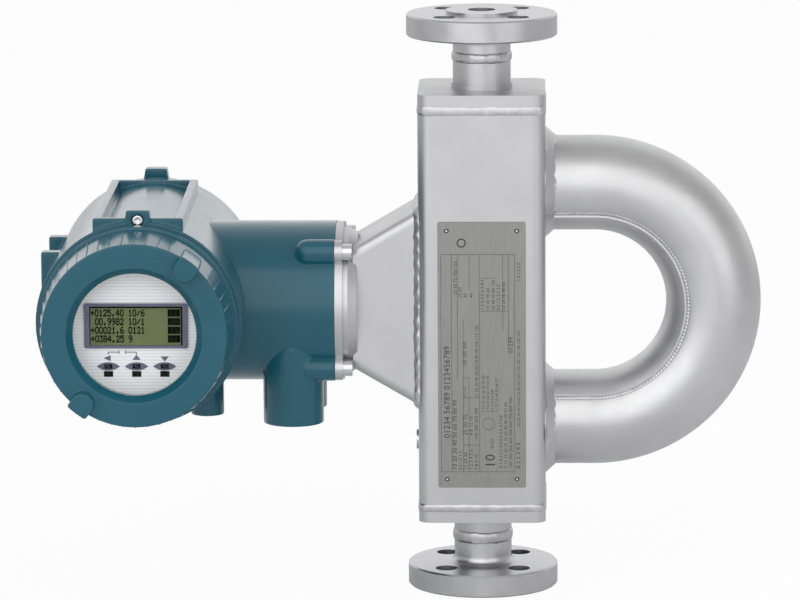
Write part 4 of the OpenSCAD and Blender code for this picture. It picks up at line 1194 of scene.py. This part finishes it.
def add_camera(distance, azimuth, elevation, roll, aside, lens):
    """A long lens at the viewing angle, turned by a small roll and slid aside to frame the meter.

    back is (sin az cos el, -cos az cos el, sin el), and across and upright are its normals, turned
    by the roll.
    """
    a, e, r = (math.radians(x) for x in (azimuth, elevation, roll))
    back = np.array([math.sin(a) * math.cos(e), -math.cos(a) * math.cos(e), math.sin(e)])
    right = np.cross(-back, (0, 0, 1))
    right /= np.linalg.norm(right)
    up = np.cross(right, -back)
    across = math.cos(r) * right + math.sin(r) * up
    upright = -math.sin(r) * right + math.cos(r) * up
    data = bpy.data.cameras.new("camera")
    data.lens = lens
    data.sensor_width = 36
    data.clip_end = 100
    camera = bpy.data.objects.new("camera", data)
    bpy.context.scene.collection.objects.link(camera)
    spot = back * distance - aside[0] * across - aside[1] * upright + (0, 0, AXIS_Z)
    pose = np.eye(4)
    pose[:3, 0], pose[:3, 1], pose[:3, 2], pose[:3, 3] = across, upright, back, spot
    camera.matrix_world = Matrix(pose.tolist())
    bpy.context.scene.camera = camera


# ---------------------------------------------------------------- settings


def metres(name, description, default):
    """A length property in metres."""
    return bpy.props.FloatProperty(
        name=name, description=description, default=default, min=0.0, unit="LENGTH"
    )


def colour(name, description, default):
    """A linear colour property."""
    return bpy.props.FloatVectorProperty(
        name=name, description=description, default=default, subtype="COLOR", size=4, min=0.0,
        max=1.0,
    )


class MeterSizes(bpy.types.PropertyGroup):
    """Sizes of the details"""

    strip_rise: metres("Strip rise", "How far the closing strip stands above the pipe", 1.2 * MM)
    seam_width: metres("Seam width", "Width of the welds along the closing strip", 2.6 * MM)
    seam_height: metres("Seam height", "Height of the welds along the closing strip", 0.75 * MM)
    collar_length: metres("Collar length", "Reach of the flared welds along the pipe", 6.6 * MM)
    collar_rise: metres("Collar rise", "Rise of the flared welds off the pipe", 6.0 * MM)
    adapter_edge: metres("Adapter edge", "Radius of the adapter's folded edges", 7.0 * MM)
    adapter_fall: metres("Adapter fall", "How much lower its transmitter end is", 48.0 * MM)
    lens_width: metres("Lens width", "Width of an optical key", 14.2 * MM)
    triangle: metres("Triangle", "Size of the triangles over the keys", 3.0 * MM)
    casting_voxel: metres("Casting grain", "Voxel size of the casting's rebuilt skin", 0.65 * MM)
    casting_passes: bpy.props.IntProperty(
        name="Casting passes", description="Smoothing passes that round the casting", default=3
    )
    casting_most: bpy.props.IntProperty(
        name="Casting triangles", description="The most triangles in the casting", default=190000
    )
    strip_half: bpy.props.FloatProperty(
        name="Strip half angle", description="Half of the angle that the strip covers", default=53.0
    )
    lug_angle: bpy.props.FloatProperty(
        name="Lug angle", description="Angle of the covers' lugs in degrees", default=52.5
    )


class MeterColours(bpy.types.PropertyGroup):
    """Colours of the paint and the floor"""

    paint_dark: colour("Paint, darker", "Darker tone of the paint", linear("#125566"))
    paint_light: colour("Paint, lighter", "Lighter tone of the paint", linear("#155a6c"))
    floor: colour("Floor", "Colour of the floor", linear("#f0f0f2"))


class MeterStage(bpy.types.PropertyGroup):
    """Where the camera stands and its lens"""

    distance: metres("Distance", "Distance from the camera to the meter's axis", 3.4757)
    azimuth: bpy.props.FloatProperty(name="Azimuth", description="Degrees", default=1.5)
    elevation: bpy.props.FloatProperty(name="Elevation", description="Degrees", default=10.2)
    roll: bpy.props.FloatProperty(name="Roll", description="Degrees", default=-0.32)
    lens: bpy.props.FloatProperty(name="Lens", description="Focal length in mm", default=246.87)
    aside: bpy.props.FloatVectorProperty(
        name="Aside", description="How far the camera is slid left and down", size=2, unit="LENGTH",
        default=(0.0522, 0.0003),
    )


# ---------------------------------------------------------------- operators


class METER_OT_finishes(bpy.types.Operator):
    """Makes the materials and puts one on every part of the model"""

    bl_idname = "meter.finishes"
    bl_label = "Finishes"

    def execute(self, context):
        colours = context.scene.meter_colours
        make_finishes(tuple(colours.paint_dark), tuple(colours.paint_light))
        special = {"lower_flange": "flange", "upper_flange": "flange"}
        for part in frame["record"]["subparts"]:
            finish = special.get(part["node"], part["material_slot"])
            for place in frame["nodes"][part["node"]].material_slots:
                place.material = FINISHES[finish]
        return {"FINISHED"}


class METER_OT_loop(bpy.types.Operator):
    """Makes the looped pipe with its closing strip, seam welds and collars"""

    bl_idname = "meter.loop"
    bl_label = "Looped pipe"

    def execute(self, context):
        sizes = context.scene.meter_sizes
        add_loop_pipe(sizes.strip_half, sizes.strip_rise)
        add_seam_beads(sizes.strip_half, sizes.seam_width, sizes.seam_height)
        add_loop_collars(sizes.collar_length, sizes.collar_rise)
        return {"FINISHED"}


class METER_OT_box(bpy.types.Operator):
    """Makes the box's welds, the adapter and the rivets"""

    bl_idname = "meter.box"
    bl_label = "Box and adapter"

    def execute(self, context):
        sizes = context.scene.meter_sizes
        add_box_welds()
        add_adapter(sizes.adapter_edge, sizes.adapter_fall)
        add_rivets()
        return {"FINISHED"}


class METER_OT_casting(bpy.types.Operator):
    """Makes the transmitter's casting with rounded edges"""

    bl_idname = "meter.casting"
    bl_label = "Transmitter casting"

    def execute(self, context):
        sizes = context.scene.meter_sizes
        add_casting(sizes.casting_voxel, sizes.casting_passes, sizes.casting_most)
        add_lock_screws()
        return {"FINISHED"}


class METER_OT_covers(bpy.types.Operator):
    """Makes the display cover and the terminal cover"""

    bl_idname = "meter.covers"
    bl_label = "Covers"

    def execute(self, context):
        angle = context.scene.meter_sizes.lug_angle
        # The node, its place, how many millimetres it stands out and whether it has a window
        for node, place, height, window in (
            ("display_cover", FRONT, 42, True), ("terminal_cover", REAR, 29, False)
        ):
            add_cover(node + "_skin", node, place, height, window, angle, node + "_body")
            add_lugs(node + "_lugs", place, height, angle, node + "_body")
        return {"FINISHED"}


class METER_OT_display(bpy.types.Operator):
    """Prints the display, the keys and the name plate with plain numbers"""

    bl_idname = "meter.display"
    bl_label = "Display and plate"

    def execute(self, context):
        sizes = context.scene.meter_sizes
        add_lcd_digits(
            ["+0125.40 10/6", " 00.9982 10/1", "+00021.6 0121", "+0384.25 9"],
            ["=|-", "-=|", "|-=", "=-|"],
        )
        add_key_marks(sizes.lens_width, sizes.triangle)
        add_name_plate()
        return {"FINISHED"}


class METER_OT_stage(bpy.types.Operator):
    """Sets the floor, the studio light and the camera"""

    bl_idname = "meter.stage"
    bl_label = "Stage"

    def execute(self, context):
        stage = context.scene.meter_stage
        context.scene.view_settings.view_transform = "Standard"
        set_world(front=0.78, side=0.54, back=1.0, soft=0.65)
        add_floor(tuple(context.scene.meter_colours.floor), share=0.95)
        for name, spot, size, power in LAMPS:
            add_lamp(name, spot, middle("sensor_box"), size, power)
        add_camera(
            stage.distance, stage.azimuth, stage.elevation, stage.roll, stage.aside, stage.lens
        )
        return {"FINISHED"}


GROUPS = {"meter_sizes": MeterSizes, "meter_colours": MeterColours, "meter_stage": MeterStage}
STEPS = ("finishes", "loop", "box", "casting", "covers", "display", "stage")


class METER_PT_panel(bpy.types.Panel):
    """Lists the steps and the settings"""

    bl_label = "Flow Meter"
    bl_idname = "METER_PT_panel"
    bl_space_type = "VIEW_3D"
    bl_region_type = "UI"
    bl_category = "Flow Meter"

    def draw(self, context):
        for step in STEPS:
            self.layout.operator(f"meter.{step}")
        for name, kind in GROUPS.items():
            for key in kind.__annotations__:
                self.layout.prop(getattr(context.scene, name), key)


CLASSES = (
    *GROUPS.values(), METER_OT_finishes, METER_OT_loop, METER_OT_box, METER_OT_casting,
    METER_OT_covers, METER_OT_display, METER_OT_stage, METER_PT_panel,
)


def register():
    """Registers the classes and the settings."""
    for each in CLASSES:
        bpy.utils.register_class(each)
    for name, kind in GROUPS.items():
        setattr(bpy.types.Scene, name, bpy.props.PointerProperty(type=kind))


def unregister():
    """Removes the settings and the classes."""
    for name in GROUPS:
        delattr(bpy.types.Scene, name)
    for each in reversed(CLASSES):
        bpy.utils.unregister_class(each)


def main():
    """Runs every step."""
    register()
    for step in STEPS:
        getattr(bpy.ops.meter, step)()


if __name__ == "__main__":
    main()
